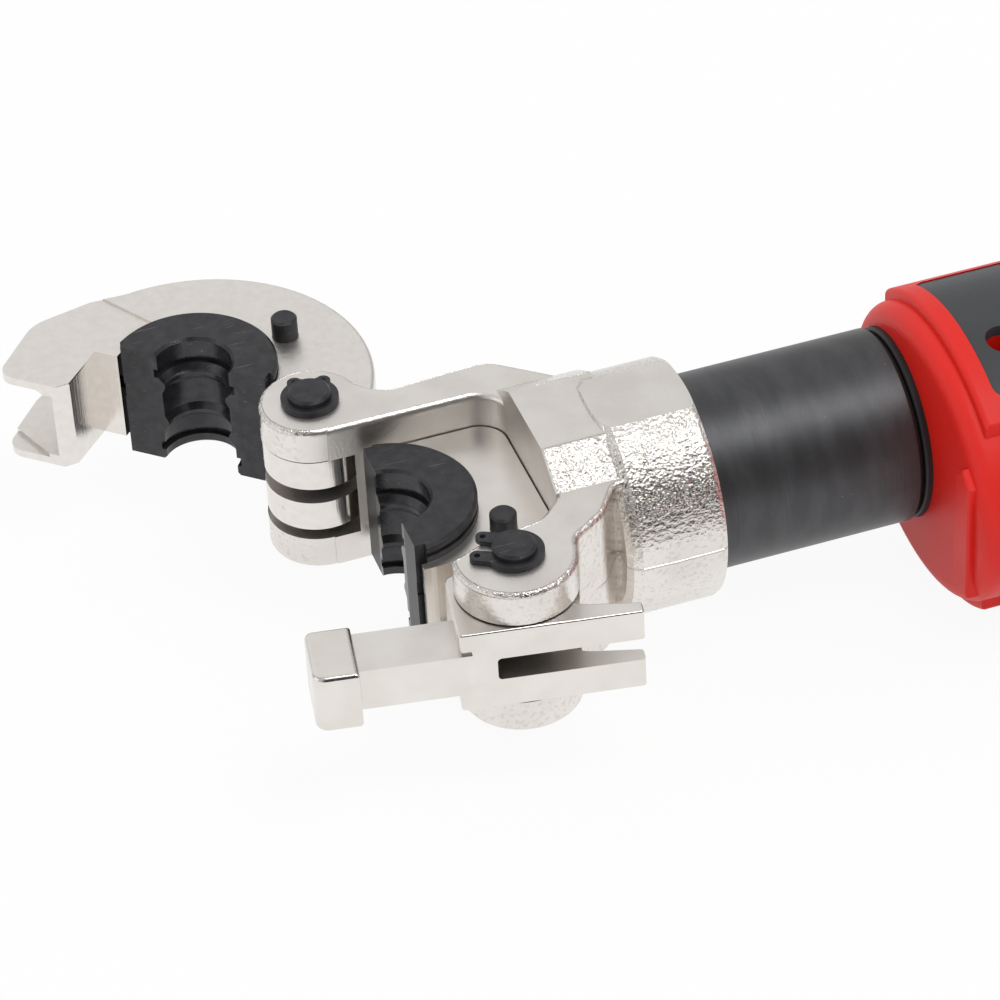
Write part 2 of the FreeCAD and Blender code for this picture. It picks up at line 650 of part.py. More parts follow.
def lock_channel(spot, toward):
    """Button hole and plunger hole of a die lock, to be cut from the jaw or the ram holder."""
    x, y = lock_origin(spot, toward)
    centre_x = PRESS_X if toward < 0 else 0.0
    bottom = -7.0
    hole = rod_z(BUTTON_R + RUN_FIT, x, y, bottom, 30)
    length = math.hypot(x - centre_x, y)
    direction = V(centre_x - x, -y, 0)
    tunnel = Part.makeCylinder(PLUNGER_R + RUN_FIT, length - DIE_R + 1, V(x, y, LOCK_GROOVE_Z), direction)
    return hole.fuse(tunnel)


def lock_origin(spot, toward):
    """Button axis in the frame of the piece that carries it."""
    return (PRESS_X + spot[0], spot[1]) if toward < 0 else spot


def lock_button(spot, toward, top):
    """Push button whose cone holds the plunger out at rest and lets it back when pressed."""
    x, y = lock_origin(spot, toward)
    cone_start = LOCK_GROOVE_Z - 0.3
    cone_end = cone_start + (BUTTON_R - BUTTON_NECK_R) / BUTTON_SLOPE
    profile = [(0, -1.6), (BUTTON_R - 0.3, -1.6), (BUTTON_R, -1.3), (BUTTON_R, cone_start),
               (BUTTON_NECK_R, cone_end), (BUTTON_NECK_R, cone_end + BUTTON_NECK_L),
               (BUTTON_R, cone_end + BUTTON_NECK_L),
               (BUTTON_R, top - 0.5), (BUTTON_R - 0.5, top), (0, top)]
    return turned_z(profile, x, y)


def lock_plunger(spot, toward):
    """Round plunger from the button's cone into the lock groove of the die."""
    x, y = lock_origin(spot, toward)
    centre_x = PRESS_X if toward < 0 else 0.0
    reach = math.hypot(x - centre_x, y)
    direction = V(centre_x - x, -y, 0)
    direction.normalize()
    base = V(x, y, LOCK_GROOVE_Z)
    nib_start = BUTTON_R + SLIDE_GAP
    nib = Part.makeCylinder(0.5, PLUNGER_NIB_L + 0.4, base + direction * nib_start, direction)
    body_start = nib_start + PLUNGER_NIB_L
    tip = reach - DIE_R + LOCK_GROOVE_DEPTH - SLIDE_GAP
    body = Part.makeCylinder(PLUNGER_R, tip - body_start, base + direction * body_start, direction)
    return fuse([body, nib])


def button_spring(spot, toward):
    """Coil under a lock button."""
    x, y = lock_origin(spot, toward)
    wire_r = 0.35
    return coil(BUTTON_R - 0.6, wire_r, 1.22, 3.8, FreeCAD.Placement(V(x, y, -7.0 + wire_r), FreeCAD.Rotation()))


def jaw_spring():
    """Black coil on the hinge pin, between the jaw's lugs."""
    wire_r = 0.55
    z0 = JAW_COIL_LOW + 0.2 + wire_r
    turns = (JAW_COIL_TOP - JAW_COIL_LOW - 0.4 - 2 * wire_r) / 1.2
    return coil(PIN_R + 0.3 + wire_r, wire_r, 1.2, turns,
                FreeCAD.Placement(V(HINGE_X, PIN_OFFSET, z0), FreeCAD.Rotation()))


def latch_spring():
    """Coil on the latch pin, inside the latch's slot."""
    wire_r = 0.7
    z0 = -LATCH_SLOT_HALF + 0.25 + wire_r
    turns = (2 * LATCH_SLOT_HALF - 0.5 - 2 * wire_r) / 1.5
    return coil(PIN_R + 0.3 + wire_r, wire_r, 1.5, turns,
                FreeCAD.Placement(V(LATCH_X, -PIN_OFFSET, z0), FreeCAD.Rotation()))


def ram_holder():
    """Plate in the yoke's window with a half-round seat for the moving die."""
    rear = WINDOW_REAR_X - SLIDE_GAP
    half = WINDOW_HALF - SLIDE_GAP
    body = plate([(HOLDER_FRONT_X, -half, 0), (rear, -half, HOLDER_CORNER_R), (rear, half, HOLDER_CORNER_R),
                  (HOLDER_FRONT_X, half, 0)], -HOLDER_HALF, HOLDER_HALF)
    seat = rod_z(DIE_R + RUN_FIT, 0, 0, -20, 20)
    nose = rod_x(ROD_NOSE_R + RUN_FIT, rear - ROD_NOSE_L - 0.5, rear + 1)
    return cut(body, [seat, nose, lock_channel(RAM_BUTTON, 1)])


def piston_rod():
    """Piston with a seal groove and a rod whose nose holds the ram holder."""
    rear = PISTON_REAR_X
    front = rear - PISTON_L
    seat = WINDOW_REAR_X - SLIDE_GAP
    radius = BORE_R - RUN_FIT
    return turned_x([(seat - ROD_NOSE_L, 0), (seat - ROD_NOSE_L, ROD_NOSE_R), (seat, ROD_NOSE_R), (seat, ROD_R),
                     (front, ROD_R), (front, radius), (front + 4, radius), (front + 4, radius - 2),
                     (front + 8, radius - 2), (front + 8, radius), (rear - 0.6, radius), (rear, radius - 0.6),
                     (rear, 0)])


def piston_seal():
    """Ring in the piston's groove."""
    front = PISTON_REAR_X - PISTON_L
    return tube_x(BORE_R - 0.02, BORE_R - 2 + RUN_FIT, front + 4.1, front + 7.9)


def return_spring():
    """Coil round the rod, in front of the piston."""
    wire_r = 1.3
    start = BORE_FRONT_X + 0.2 + wire_r
    end = PISTON_REAR_X - PISTON_L - 0.2 - wire_r
    turns = 7.5
    return coil(12.3, wire_r, (end - start) / turns, turns, along(X_AXIS, V(start, 0, 0)))


def rod_bush():
    """Bush that guides the rod in the yoke."""
    return tube_x(BUSH_R, ROD_R + RUN_FIT, BUSH_START_X + 0.1, SPIGOT_START_X - 0.1)


def neck_cylinder():
    """Cylinder that screws into the collar and carries the piston."""
    end = NECK_END_X
    rear = end + REAR_SPIGOT_L
    outside = turned_x([(SPIGOT_START_X, 0), (SPIGOT_START_X, SPIGOT_R), (COLLAR_END_X, SPIGOT_R),
                        (COLLAR_END_X, NECK_R - 0.6), (COLLAR_END_X + 0.6, NECK_R), (end - NECK_CHAMFER, NECK_R),
                        (end, NECK_R - NECK_CHAMFER), (end, REAR_SPIGOT_R), (rear, REAR_SPIGOT_R), (rear, 0)])
    bore = rod_x(BORE_R, BORE_FRONT_X, rear + 1)
    return cut(outside, [bore, rod_x(ROD_R + 0.6, SPIGOT_START_X - 1, BORE_FRONT_X + 1)])


def head_parts():
    """Every piece of the head."""
    return {
        "yoke": yoke(),
        "jaw_hinge_pin": hinge_pin(HINGE_X, PIN_OFFSET),
        "latch_pin": hinge_pin(LATCH_X, -PIN_OFFSET),
        "pin_circlips": circlips(),
        "swing_jaw": jaw(),
        "fixed_die": fixed_die(),
        "jaw_lock_button": opened(lock_button(JAW_BUTTON, -1, JAW_BUTTON_TOP)),
        "jaw_lock_plunger": opened(lock_plunger(JAW_BUTTON, -1)),
        "jaw_lock_spring": opened(button_spring(JAW_BUTTON, -1)),
        "jaw_hinge_spring": jaw_spring(),
        "latch": latch(),
        "latch_spring": latch_spring(),
        "ram_holder": ram_holder(),
        "moving_die": die_half(),
        "ram_lock_button": lock_button(RAM_BUTTON, 1, RAM_BUTTON_TOP),
        "ram_lock_plunger": lock_plunger(RAM_BUTTON, 1),
        "ram_lock_spring": button_spring(RAM_BUTTON, 1),
        "piston_rod": piston_rod(),
        "piston_seal": piston_seal(),
        "return_spring": return_spring(),
        "rod_bush": rod_bush(),
        "neck_cylinder": neck_cylinder(),
    }


# Housing, handle and battery. Lengths along the housing are measured from its front face.

def at(b):
    """X of a place measured from the housing's front face."""
    return BODY_X + b


def body_box(b0, b1, y0, y1, z0, z1):
    """Box placed by its distance behind the housing's front face."""
    return box(at(b0), at(b1), y0, y1, z0, z1)


def body_bar(radius, b0, b1):
    """Round bar on the neck's axis."""
    return rod_x(radius, at(b0), at(b1))


def body_ring(r_out, r_in, b0, b1):
    """Ring on the neck's axis."""
    return tube_x(r_out, r_in, at(b0), at(b1))


def handle_shift(y):
    """How far the raked handle has moved back at a height."""
    return HANDLE_RAKE * (HANDLE_TOP_Y - y) / (HANDLE_TOP_Y - HANDLE_LOW_Y)


def handle_solid(grow, low_y):
    """Raked grip, larger all round than its nominal size by grow."""
    top_y = HANDLE_TOP_Y + 8
    front = at(HANDLE_B - HANDLE_A - grow)
    rear = at(HANDLE_B + HANDLE_A + grow)
    half = HANDLE_HALF + grow
    outline = [(front + handle_shift(top_y), top_y, 0), (rear + handle_shift(top_y), top_y, 0),
               (rear + handle_shift(low_y), low_y, 0), (front + handle_shift(low_y), low_y, 0)]
    return soften(plate(outline, -half, half), HANDLE_ROUND + grow, level_edge(half))


def foot_solid():
    """Widened foot of the handle, above the battery."""
    outline = [(at(FOOT_FRONT), FOOT_LOW_Y, 1), (at(FOOT_REAR), FOOT_LOW_Y, 1),
               (at(FOOT_REAR), FOOT_TOP_Y, 7), (at(FOOT_FRONT), FOOT_TOP_Y, 7)]
    return soften(plate(outline, -FOOT_HALF, FOOT_HALF), 4, level_edge(FOOT_HALF))


def oval_end(b):
    """Chooser for the edges that lie in one cross plane of the housing."""
    def check(edge):
        bounds = edge.BoundBox
        return bounds.XLength < 1e-3 and abs(bounds.XMin - at(b)) < 1e-3
    return check


def barrel():
    """Oval barrel with a rounded nose and tail."""
    bar = oval_x(BODY_A, BODY_B, at(0), at(BODY_L), BODY_Y)
    bar = soften(bar, RING_NOSE_R, oval_end(0))
    return soften(bar, TAIL_ROUND, oval_end(BODY_L))


def panel_frame():
    """Raised bands that run round the two side panels."""
    bar = oval_x(BODY_A + FRAME_RISE, BODY_B + FRAME_RISE, at(FRAME_FRONT), at(FRAME_REAR), BODY_Y)
    bar = bar.common(box(0, 400, FRAME_NEAR_Y, FRAME_FAR_Y, -60, 60))
    return soften(bar, 1.2, lambda edge: abs(edge.CenterOfMass.z) > 20)


def panel_block(gap):
    """Upright block that bounds one side panel, smaller all round by gap."""
    near = FRAME_NEAR_Y + FRAME_BAND + gap
    far = FRAME_FAR_Y - FRAME_BAND - gap
    outline = [(at(PANEL_FRONT + gap), near, PANEL_CORNER), (at(PANEL_REAR - gap), near, PANEL_CORNER),
               (at(PANEL_REAR - gap), far, PANEL_CORNER), (at(PANEL_FRONT + gap), far, PANEL_CORNER)]
    return plate(outline, 12, 60)


def panel_floor(gap):
    """Oval bar under the side panels."""
    sink = FRAME_RISE - PANEL_T + gap
    return oval_x(BODY_A + sink, BODY_B + sink, at(0), at(BODY_L), BODY_Y)


def plain_panel():
    """Side panel for the upper side, without holes."""
    sink = FRAME_RISE - PANEL_SINK
    face = oval_x(BODY_A + sink, BODY_B + sink, at(0), at(BODY_L), BODY_Y)
    return panel_block(PANEL_GAP).common(face).cut(panel_floor(RUN_FIT))


def upper_panel():
    """Upper side panel with holes over the screws that lie under it."""
    holes = [rod_z(RECESS_R, at(b), y, 0, 60) for b, y in SCREWS if b < PANEL_REAR and y > FRAME_NEAR_Y]
    return cut(plain_panel(), holes)


def nose_rib():
    """Pointed rib on the front of the nose, across the line where the shells meet."""
    tip = (NOSE_RIB_NEAR_Y + NOSE_RIB_FAR_Y) / 2
    outline = [(NOSE_RIB_NEAR_Y, -NOSE_RIB_HALF, 0), (NOSE_RIB_FAR_Y, -NOSE_RIB_HALF, 0),
               (NOSE_RIB_FAR_Y, NOSE_RIB_HALF - NOSE_RIB_POINT, 0), (tip, NOSE_RIB_HALF, 0),
               (NOSE_RIB_NEAR_Y, NOSE_RIB_HALF - NOSE_RIB_POINT, 0)]
    rib = bar_x(outline, at(-NOSE_RIB_RISE), at(FRAME_FRONT))
    return soften(rib, 0.7, oval_end(-NOSE_RIB_RISE))


def housing_solid():
    """Both shells in one piece, before they are split at the mid plane."""
    outer = barrel()
    for piece in (panel_frame(), handle_solid(0, HANDLE_LOW_Y), foot_solid(), nose_rib()):
        outer = outer.fuse(piece)
    inner_a = BODY_A - BODY_WALL
    inner_b = BODY_B - BODY_WALL
    hollow = oval_x(inner_a, inner_b, at(FRONT_WALL), at(BODY_L - 3), BODY_Y)
    hollow = soften(hollow, TAIL_ROUND - 2, oval_end(BODY_L - 3))
    ribs = []
    for b, radius in RIBS:
        rib = oval_x(inner_a + 0.2, inner_b + 0.2, at(b), at(b + RIB_T), BODY_Y)
        rib = rib.common(box(0, 400, RIB_LOW_Y, 60, -60, 60))
        ribs.append(rib.cut(rod_x(radius + 0.1, at(b) - 1, at(b) + 4)))
    grip_hollow = handle_solid(-BODY_WALL, HANDLE_LOW_Y)
    foot_hollow = body_box(FOOT_FRONT + 3, FOOT_REAR - 3, FOOT_LOW_Y + RAIL_DEPTH + 1.5, FOOT_TOP_Y - 2.5,
                           3 - FOOT_HALF, FOOT_HALF - 3)
    shell = cut(outer, [hollow, grip_hollow, foot_hollow])
    for rib in ribs:
        shell = shell.fuse(rib)
    block = panel_block(0).cut(panel_floor(0))
    shell = cut(shell, [block, mirror_z(block)])
    for b, y in SCREWS:
        post = rod_z(SCREW_BOSS_R, at(b), y, -60, 60).common(outer)
        post = cut(post, [block, mirror_z(block)])
        shell = shell.fuse(post)
    for b, y in SCREWS:
        shell = shell.cut(rod_z(RECESS_R, at(b), y, SCREW_SEAT, 60))
        shell = shell.cut(rod_z(SCREW_R + 0.2, at(b), y, 0, SCREW_SEAT + 1))
        shell = shell.cut(rod_z(SCREW_R + 0.02, at(b), y, -SCREW_DEPTH - 1, 0.1))
    shell = cut(shell, [body_bar(OPENING_R, -1, FRONT_WALL + 0.5), battery_channel()])
    shell = shell.cut(body_box(HANDLE_B - HANDLE_A - 10, HANDLE_B - 8, TRIGGER_LOW_Y - 0.4, TRIGGER_TOP_Y + 0.4,
                               -TRIGGER_HALF - 0.4, TRIGGER_HALF + 0.4))
    shell = shell.cut(rod_y(RELEASE_R + 0.2, at(RELEASE_B), -62, BODY_Y - inner_a + 4))
    shell = shell.cut(rod_x(LENS_R + 0.05, at(FOOT_FRONT - 1), at(FOOT_FRONT + 4), LENS_Y))
    shell = shell.cut(grip_band(0).cut(handle_solid(-PAD_DEPTH, HANDLE_LOW_Y)))
    for i in range(VENT_COUNT):
        b = VENT_FIRST + i * VENT_PITCH
        for z in (-VENT_Z, VENT_Z):
            shell = shell.cut(body_box(b, b + VENT_W, 18, 40, z - 5, z + 5))
    return shell


def shells():
    """Upper and lower shell."""
    whole = housing_solid()
    upper = whole.common(box(0, 400, -260, 60, 0, 80))
    lower = whole.common(box(0, 400, -260, 60, -80, 0))
    return upper, lower


def battery_channel():
    """T-shaped channel under the foot, open towards the front."""
    low = FOOT_LOW_Y
    wide = body_box(FOOT_FRONT - 1, CHANNEL_REAR, low + LIP_T, low + RAIL_DEPTH, -RAIL_HALF, RAIL_HALF)
    narrow = body_box(FOOT_FRONT - 1, CHANNEL_REAR, low - 1, low + LIP_T, -RAIL_HALF + 4, RAIL_HALF - 4)
    return wide.fuse(narrow)


def grip_band(grow):
    """Raked strip behind the handle where the rubber grip sits."""
    points = []
    for y in (PAD_TOP_Y, PAD_LOW_Y):
        rear = at(HANDLE_B + HANDLE_A) + handle_shift(y)
        points.append((rear, y))
    (x_top, y_top), (x_low, y_low) = points
    outline = [(x_top - PAD_WRAP, y_top, 0), (x_top + 5, y_top, 0), (x_low + 5, y_low, 0),
               (x_low - PAD_WRAP, y_low, 0)]
    return plate(outline, -30, 30).common(handle_solid(grow, HANDLE_LOW_Y))


def grip_pad():
    """Rubber grip that wraps round the back of the handle."""
    return grip_band(PAD_RISE).cut(handle_solid(-PAD_DEPTH, HANDLE_LOW_Y))


def housing_screws():
    """Screws that hold the two shells together."""
    screws = []
    for b, y in SCREWS:
        head = rod_z(SCREW_HEAD_R, at(b), y, SCREW_SEAT, SCREW_SEAT + 2.6)
        socket = rod_z(1.5, at(b), y, SCREW_SEAT + 0.9, SCREW_SEAT + 4)
        shank = rod_z(SCREW_R, at(b), y, -SCREW_DEPTH, SCREW_SEAT + 0.5)
        screws.append(fuse([head, shank]).cut(socket))
    return Part.makeCompound(screws)


def trigger():
    """Finger trigger that slides into the handle."""
    front = HANDLE_B - HANDLE_A - 9
    rear = TRIGGER_REAR
    top = TRIGGER_TOP_Y
    low = TRIGGER_LOW_Y
    outline = [(at(front), top, 3), (at(front + 3.5), (top + low) / 2, 22), (at(front + 1), low, 3),
               (at(rear), low, 0.5), (at(rear), top, 0.5)]
    body = soften(plate(outline, -TRIGGER_HALF, TRIGGER_HALF), 1.5, level_edge(TRIGGER_HALF))
    return body.cut(rod_x(TRIGGER_BORE_R, at(rear - TRIGGER_BORE_L), at(rear + 1), (top + low) / 2))


def trigger_spring():
    """Coil between the trigger and the switch."""
    start = at(TRIGGER_REAR - TRIGGER_BORE_L) + 0.6
    end = at(SWITCH_FRONT) - 0.6
    turns = 5
    place = along(X_AXIS, V(start, (TRIGGER_TOP_Y + TRIGGER_LOW_Y) / 2, 0))
    return coil(TRIGGER_BORE_R - 1.0, 0.5, (end - start) / turns, turns, place)


def trigger_switch():
    """Switch body behind the trigger."""
    return body_box(SWITCH_FRONT, SWITCH_FRONT + SWITCH_L, TRIGGER_LOW_Y, TRIGGER_TOP_Y, -9, 9)


def control_board():
    """Circuit board in the handle, with its larger components."""
    half = HANDLE_HALF - BODY_WALL - SLIDE_GAP
    board = body_box(BOARD_B, BOARD_B + 1.6, BOARD_LOW_Y, BOARD_TOP_Y, -half, half)
    items = [board]
    for y, size in ((BOARD_TOP_Y - 8, 6), (BOARD_TOP_Y - 22, 4), (BOARD_TOP_Y - 36, 5)):
        items.append(body_box(BOARD_B + 1.6, BOARD_B + 5, y - size, y + size, -size, size))
    return fuse(items)


def lamp_lens():
    """Clear work light lens in the front of the foot."""
    dome = rod_x(LENS_R, at(FOOT_FRONT - 1.5), at(FOOT_FRONT + 3.1), LENS_Y)
    dome = soften(dome, 1.2, lambda edge: abs(edge.BoundBox.XMax - at(FOOT_FRONT - 1.5)) < 1e-3)
    return fuse([dome, rod_x(LENS_R - 1.5, at(FOOT_FRONT + 3), at(FOOT_FRONT + 6), LENS_Y)])


def contact_block():
    """Contact carrier with two blades at the end of the battery channel."""
    low = FOOT_LOW_Y
    base = body_box(CHANNEL_REAR - 11, CHANNEL_REAR, low + 0.6, low + RAIL_DEPTH, -14, 14)
    blades = [body_box(CHANNEL_REAR - 19, CHANNEL_REAR - 10, low + 2, low + 5.5, z - 0.5, z + 0.5)
              for z in (-BLADE_Z, BLADE_Z)]
    return fuse([base] + blades)


def battery_outline(inset):
    """Side outline of the battery."""
    corner = 7 - inset
    x0 = at(FOOT_FRONT + inset)
    x1 = at(FOOT_REAR - inset)
    y0 = PACK_LOW_Y + inset
    y1 = FOOT_LOW_Y - SLIDE_GAP - inset
    return [(x0, y0, corner), (x1, y0, corner), (x1, y1, corner / 2), (x0, y1, corner / 2)]


def battery_shell():
    """Hollow battery box in one piece."""
    outer = plate(battery_outline(0), -PACK_HALF, PACK_HALF)
    outer = soften(outer, 3.5, level_edge(PACK_HALF))
    half = PACK_HALF - PACK_WALL
    return outer.cut(plate(battery_outline(PACK_WALL), -half, half))


def battery_case():
    """Upper battery box with the tongue that slides into the foot."""
    low = FOOT_LOW_Y
    gap = SLIDE_GAP
    case = battery_shell().common(box(0, 400, PACK_SPLIT_Y, 0, -60, 60))
    rear = CHANNEL_REAR - 11.4
    neck = body_box(FOOT_FRONT + 2, rear, low - 1, low + LIP_T + gap, -RAIL_HALF + 4 + gap, RAIL_HALF - 4 - gap)
    head = body_box(FOOT_FRONT + 2, rear, low + LIP_T + gap, low + RAIL_DEPTH - gap, -RAIL_HALF + gap,
                    RAIL_HALF - gap)
    pocket_wall = body_box(FOOT_FRONT + 1, FOOT_FRONT + 11, LOCK_LOW_Y - 2, low - 1.5, -LOCK_HALF - 2, LOCK_HALF + 2)
    case = fuse([case, neck, head, pocket_wall])
    for z in (-BLADE_Z, BLADE_Z):
        case = case.cut(body_box(rear - 9, rear + 1, low + 1.5, low + 6, z - 0.8, z + 0.8))
    pocket = body_box(FOOT_FRONT - 1, FOOT_FRONT + 9, LOCK_LOW_Y, LOCK_TOP_Y, -LOCK_HALF, LOCK_HALF)
    return case.cut(pocket)


def battery_button():
    """Release button that slides down in the front of the battery."""
    gap = 0.2
    top = LOCK_TOP_Y - gap
    body = body_box(FOOT_FRONT + 1, FOOT_FRONT + 8, LOCK_LOW_Y + LOCK_TRAVEL + 1.5, top, -LOCK_HALF + gap,
                    LOCK_HALF - gap)
    ledge = body_box(FOOT_FRONT - 2.5, FOOT_FRONT + 2, top - 4, top - 1, -LOCK_HALF + 2, LOCK_HALF - 2)
    return fuse([body, ledge])


def battery_button_spring():
    """Coil under the battery's release button."""
    start = LOCK_LOW_Y + 0.5
    end = LOCK_LOW_Y + LOCK_TRAVEL + 1.5 - 0.5
    turns = 3
    return coil(2.2, 0.4, (end - start) / turns, turns, along(Y_AXIS, V(at(FOOT_FRONT + 4.5), start, 0)))


def battery_base():
    """Lower battery tray."""
    return battery_shell().common(box(0, 400, -260, PACK_SPLIT_Y, -60, 60))


def battery_cells():
    """Two rows of round cells."""
    cells = []
    columns = 5
    pitch = 2 * CELL_R + 0.3
    middle = at((FOOT_FRONT + FOOT_REAR) / 2)
    for column in range(columns):
        for row in range(2):
            x = middle + (column - (columns - 1) / 2) * pitch
            y = PACK_LOW_Y + PACK_WALL + CELL_R + 0.1 + row * pitch
            cells.append(rod_z(CELL_R, x, y, -CELL_HALF, CELL_HALF))
    return Part.makeCompound(cells)


# Pump, gears and motor

def tooth(middle, teeth, root_r, tip_r):
    """Corners of one tooth about an angle, as (angle, radius) points."""
    half = TOOTH_SHARE * math.pi / teeth
    return [(middle - 1.35 * half, root_r), (middle - 0.6 * half, tip_r), (middle + 0.6 * half, tip_r),
            (middle + 1.35 * half, root_r)]


def extrude_polar(b, length, corners, y=0.0, z=0.0):
    """Bar along X whose section has its corners at (angle, radius) round (y, z)."""
    points = [V(at(b), y + r * math.cos(a), z + r * math.sin(a)) for a, r in corners]
    return Part.Face(Part.makePolygon(points + [points[0]])).extrude(V(length, 0, 0))


def gear_x(teeth, b0, b1, phase, y=0.0, z=0.0):
    """Spur gear along X."""
    pitch_r = GEAR_MODULE * teeth / 2
    corners = []
    for i in range(teeth):
        middle = phase + 2 * math.pi * i / teeth
        corners += tooth(middle, teeth, pitch_r - ROOT_SHARE * GEAR_MODULE, pitch_r + TIP_SHARE * GEAR_MODULE)
    return extrude_polar(b0, b1 - b0, corners, y, z)


def planet_angle(index):
    """Angle of a planet round the sun."""
    return 2 * math.pi * index / PLANET_COUNT


def planet_place(index):
    """Centre of a planet in Y and Z."""
    reach = GEAR_MODULE * (SUN_TEETH + PLANET_TEETH) / 2
    angle = planet_angle(index)
    return reach * math.cos(angle), reach * math.sin(angle)


def planet_gear(index):
    """Planet gear with a tooth pointing away from the sun."""
    y, z = planet_place(index)
    gear = gear_x(PLANET_TEETH, GEAR_B, GEAR_B + GEAR_FACE, planet_angle(index), y, z)
    return gear.cut(rod_x(POST_R + RUN_FIT, at(GEAR_B - 1), at(GEAR_B + GEAR_FACE + 1), y, z))


def planet_carrier():
    """Disc with three posts, fixed on the eccentric shaft."""
    parts = [body_bar(15, CARRIER_B, GEAR_B - 0.6)]
    for index in range(PLANET_COUNT):
        y, z = planet_place(index)
        parts.append(rod_x(POST_R, at(CARRIER_B + 1), at(GEAR_B + GEAR_FACE + 1), y, z))
        parts.append(rod_x(POST_R + 1, at(GEAR_B - 1), at(GEAR_B - 0.2), y, z))
    return fuse(parts).cut(body_bar(SHAFT_R, CARRIER_B - 1, GEAR_B))


def sun_pinion():
    """Pinion on the motor shaft."""
    gear = gear_x(SUN_TEETH, GEAR_B - 0.2, GEAR_B + GEAR_FACE + 1, 0)
    return gear.cut(body_bar(MOTOR_SHAFT_R, GEAR_B - 1, GEAR_B + GEAR_FACE + 2))


def gear_case():
    """Case with a bearing wall at its front and ring gear teeth inside."""
    pitch_r = GEAR_MODULE * RING_TEETH / 2
    root_r = pitch_r + ROOT_SHARE * GEAR_MODULE
    case = cut(body_bar(CASE_R, BLOCK_REAR, CASE_REAR),
               [body_bar(root_r, BLOCK_REAR + 4, CASE_REAR + 1),
                body_bar(SHAFT_R + RUN_FIT, BLOCK_REAR - 1, BLOCK_REAR + 5)])
    tip_r = pitch_r - TIP_SHARE * GEAR_MODULE
    teeth = []
    for i in range(RING_TEETH):
        middle = 2 * math.pi * (i + 0.5) / RING_TEETH
        corners = tooth(middle, RING_TEETH, root_r + 0.3, tip_r)
        teeth.append(extrude_polar(GEAR_B, GEAR_FACE, corners))
    return case.fuse(teeth)


def pump_block():
    """Steel pump block with the swivel collar, valve bores and the eccentric's pocket."""
    block = fuse([body_bar(BLOCK_R, BLOCK_FRONT, BLOCK_REAR),
                  body_ring(BLOCK_R, REAR_SPIGOT_R + RUN_FIT, BLOCK_START, BLOCK_FRONT + 0.1),
                  body_bar(BORE_R - RUN_FIT, BLOCK_START, BLOCK_FRONT + 0.1)])
    tools = [body_bar(POCKET_R, POCKET_FRONT, BLOCK_REAR + 1),
             body_bar(STUB_R + RUN_FIT, STUB_FRONT - 1, POCKET_FRONT + 1),
             rod_y(PLUNGER_BORE_R + RUN_FIT, at(LOBE_B), 5, PLUNGER_END_Y),
             rod_z(RELIEF_R + RUN_FIT, at(VALVE_B), 0, RELIEF_Z, 40),
             rod_y(STEM_R + RUN_FIT, at(RELEASE_B), -40, STEM_END_Y - 0.5),
             rod_y(NIPPLE_R + RUN_FIT, at(NIPPLE_B), -40, NIPPLE_Y),
             rod_z(SCREW_BOSS_R + 0.4, at(SCREWS[0][0]), SCREWS[0][1], -60, 60)]
    return cut(block, tools)


def pump_plunger():
    """Plunger that the eccentric drives."""
    return rod_y(PLUNGER_BORE_R, at(LOBE_B), BEARING_R + ECC_OFFSET + SLIDE_GAP, PLUNGER_TOP_Y)


def plunger_spring():
    """Coil behind the plunger."""
    start = PLUNGER_TOP_Y + 0.5
    end = PLUNGER_END_Y - 0.5
    return coil(PLUNGER_BORE_R - 0.9, 0.4, (end - start) / 3, 3, along(Y_AXIS, V(at(LOBE_B), start, 0)))


def relief_valve():
    """Screwed relief valve plug with a hexagon socket."""
    plug = rod_z(RELIEF_R, at(VALVE_B), 0, RELIEF_Z, 22)
    points = []
    for i in range(6):
        angle = math.pi * i / 3
        points.append((at(VALVE_B) + 2.0 * math.cos(angle), 2.0 * math.sin(angle), 0))
    return plug.cut(plate(points, 19, 23))


def return_valve():
    """Valve stem between the block and the release button."""
    return rod_y(STEM_R, at(RELEASE_B), STEM_OUT_Y, STEM_END_Y - 0.8)


def release_button():
    """Round button in the housing's near side."""
    head = rod_y(RELEASE_R, at(RELEASE_B), RELEASE_OUT_Y, RELEASE_IN_Y)
    head = soften(head, 1.0, lambda edge: abs(edge.BoundBox.YMax - RELEASE_OUT_Y) < 1e-3)
    flange = rod_y(RELEASE_R + 1.5, at(RELEASE_B), RELEASE_IN_Y - 1.5, RELEASE_IN_Y)
    return fuse([head, flange])


def release_spring():
    """Coil round the valve stem."""
    wire_r = 0.5
    start = RELEASE_IN_Y + 0.1 + wire_r
    end = -BLOCK_R - 0.6 - wire_r
    turns = 6
    return coil(STEM_R + 1.6, wire_r, (end - start) / turns, turns, along(Y_AXIS, V(at(RELEASE_B), start, 0)))


def oil_bladder():
    """Soft oil reservoir below the pump block, with its nipple."""
    bag = bar_x([(-45, -13, 5), (-45, 13, 5), (-BLOCK_R - 1.6, 13, 5), (-BLOCK_R - 1.6, -13, 5)],
                at(BAG_FRONT), at(BAG_REAR))
    return fuse([bag, rod_y(NIPPLE_R, at(NIPPLE_B), -BLOCK_R - 3, NIPPLE_Y - 0.3)])


def eccentric_shaft():
    """Shaft with an offset lobe, running in the block and the gear case."""
    lobe = rod_x(ECC_R, at(LOBE_B - 3), at(LOBE_B + 3), ECC_OFFSET)
    return fuse([body_bar(STUB_R, STUB_FRONT, LOBE_B - 2.9), lobe,
                 body_bar(SHAFT_R, LOBE_B + 2.9, GEAR_B - 0.6)])


def eccentric_bearing():
    """Ring on the lobe."""
    return tube_x(BEARING_R, ECC_R, at(LOBE_B - 2.8), at(LOBE_B + 2.8), ECC_OFFSET)


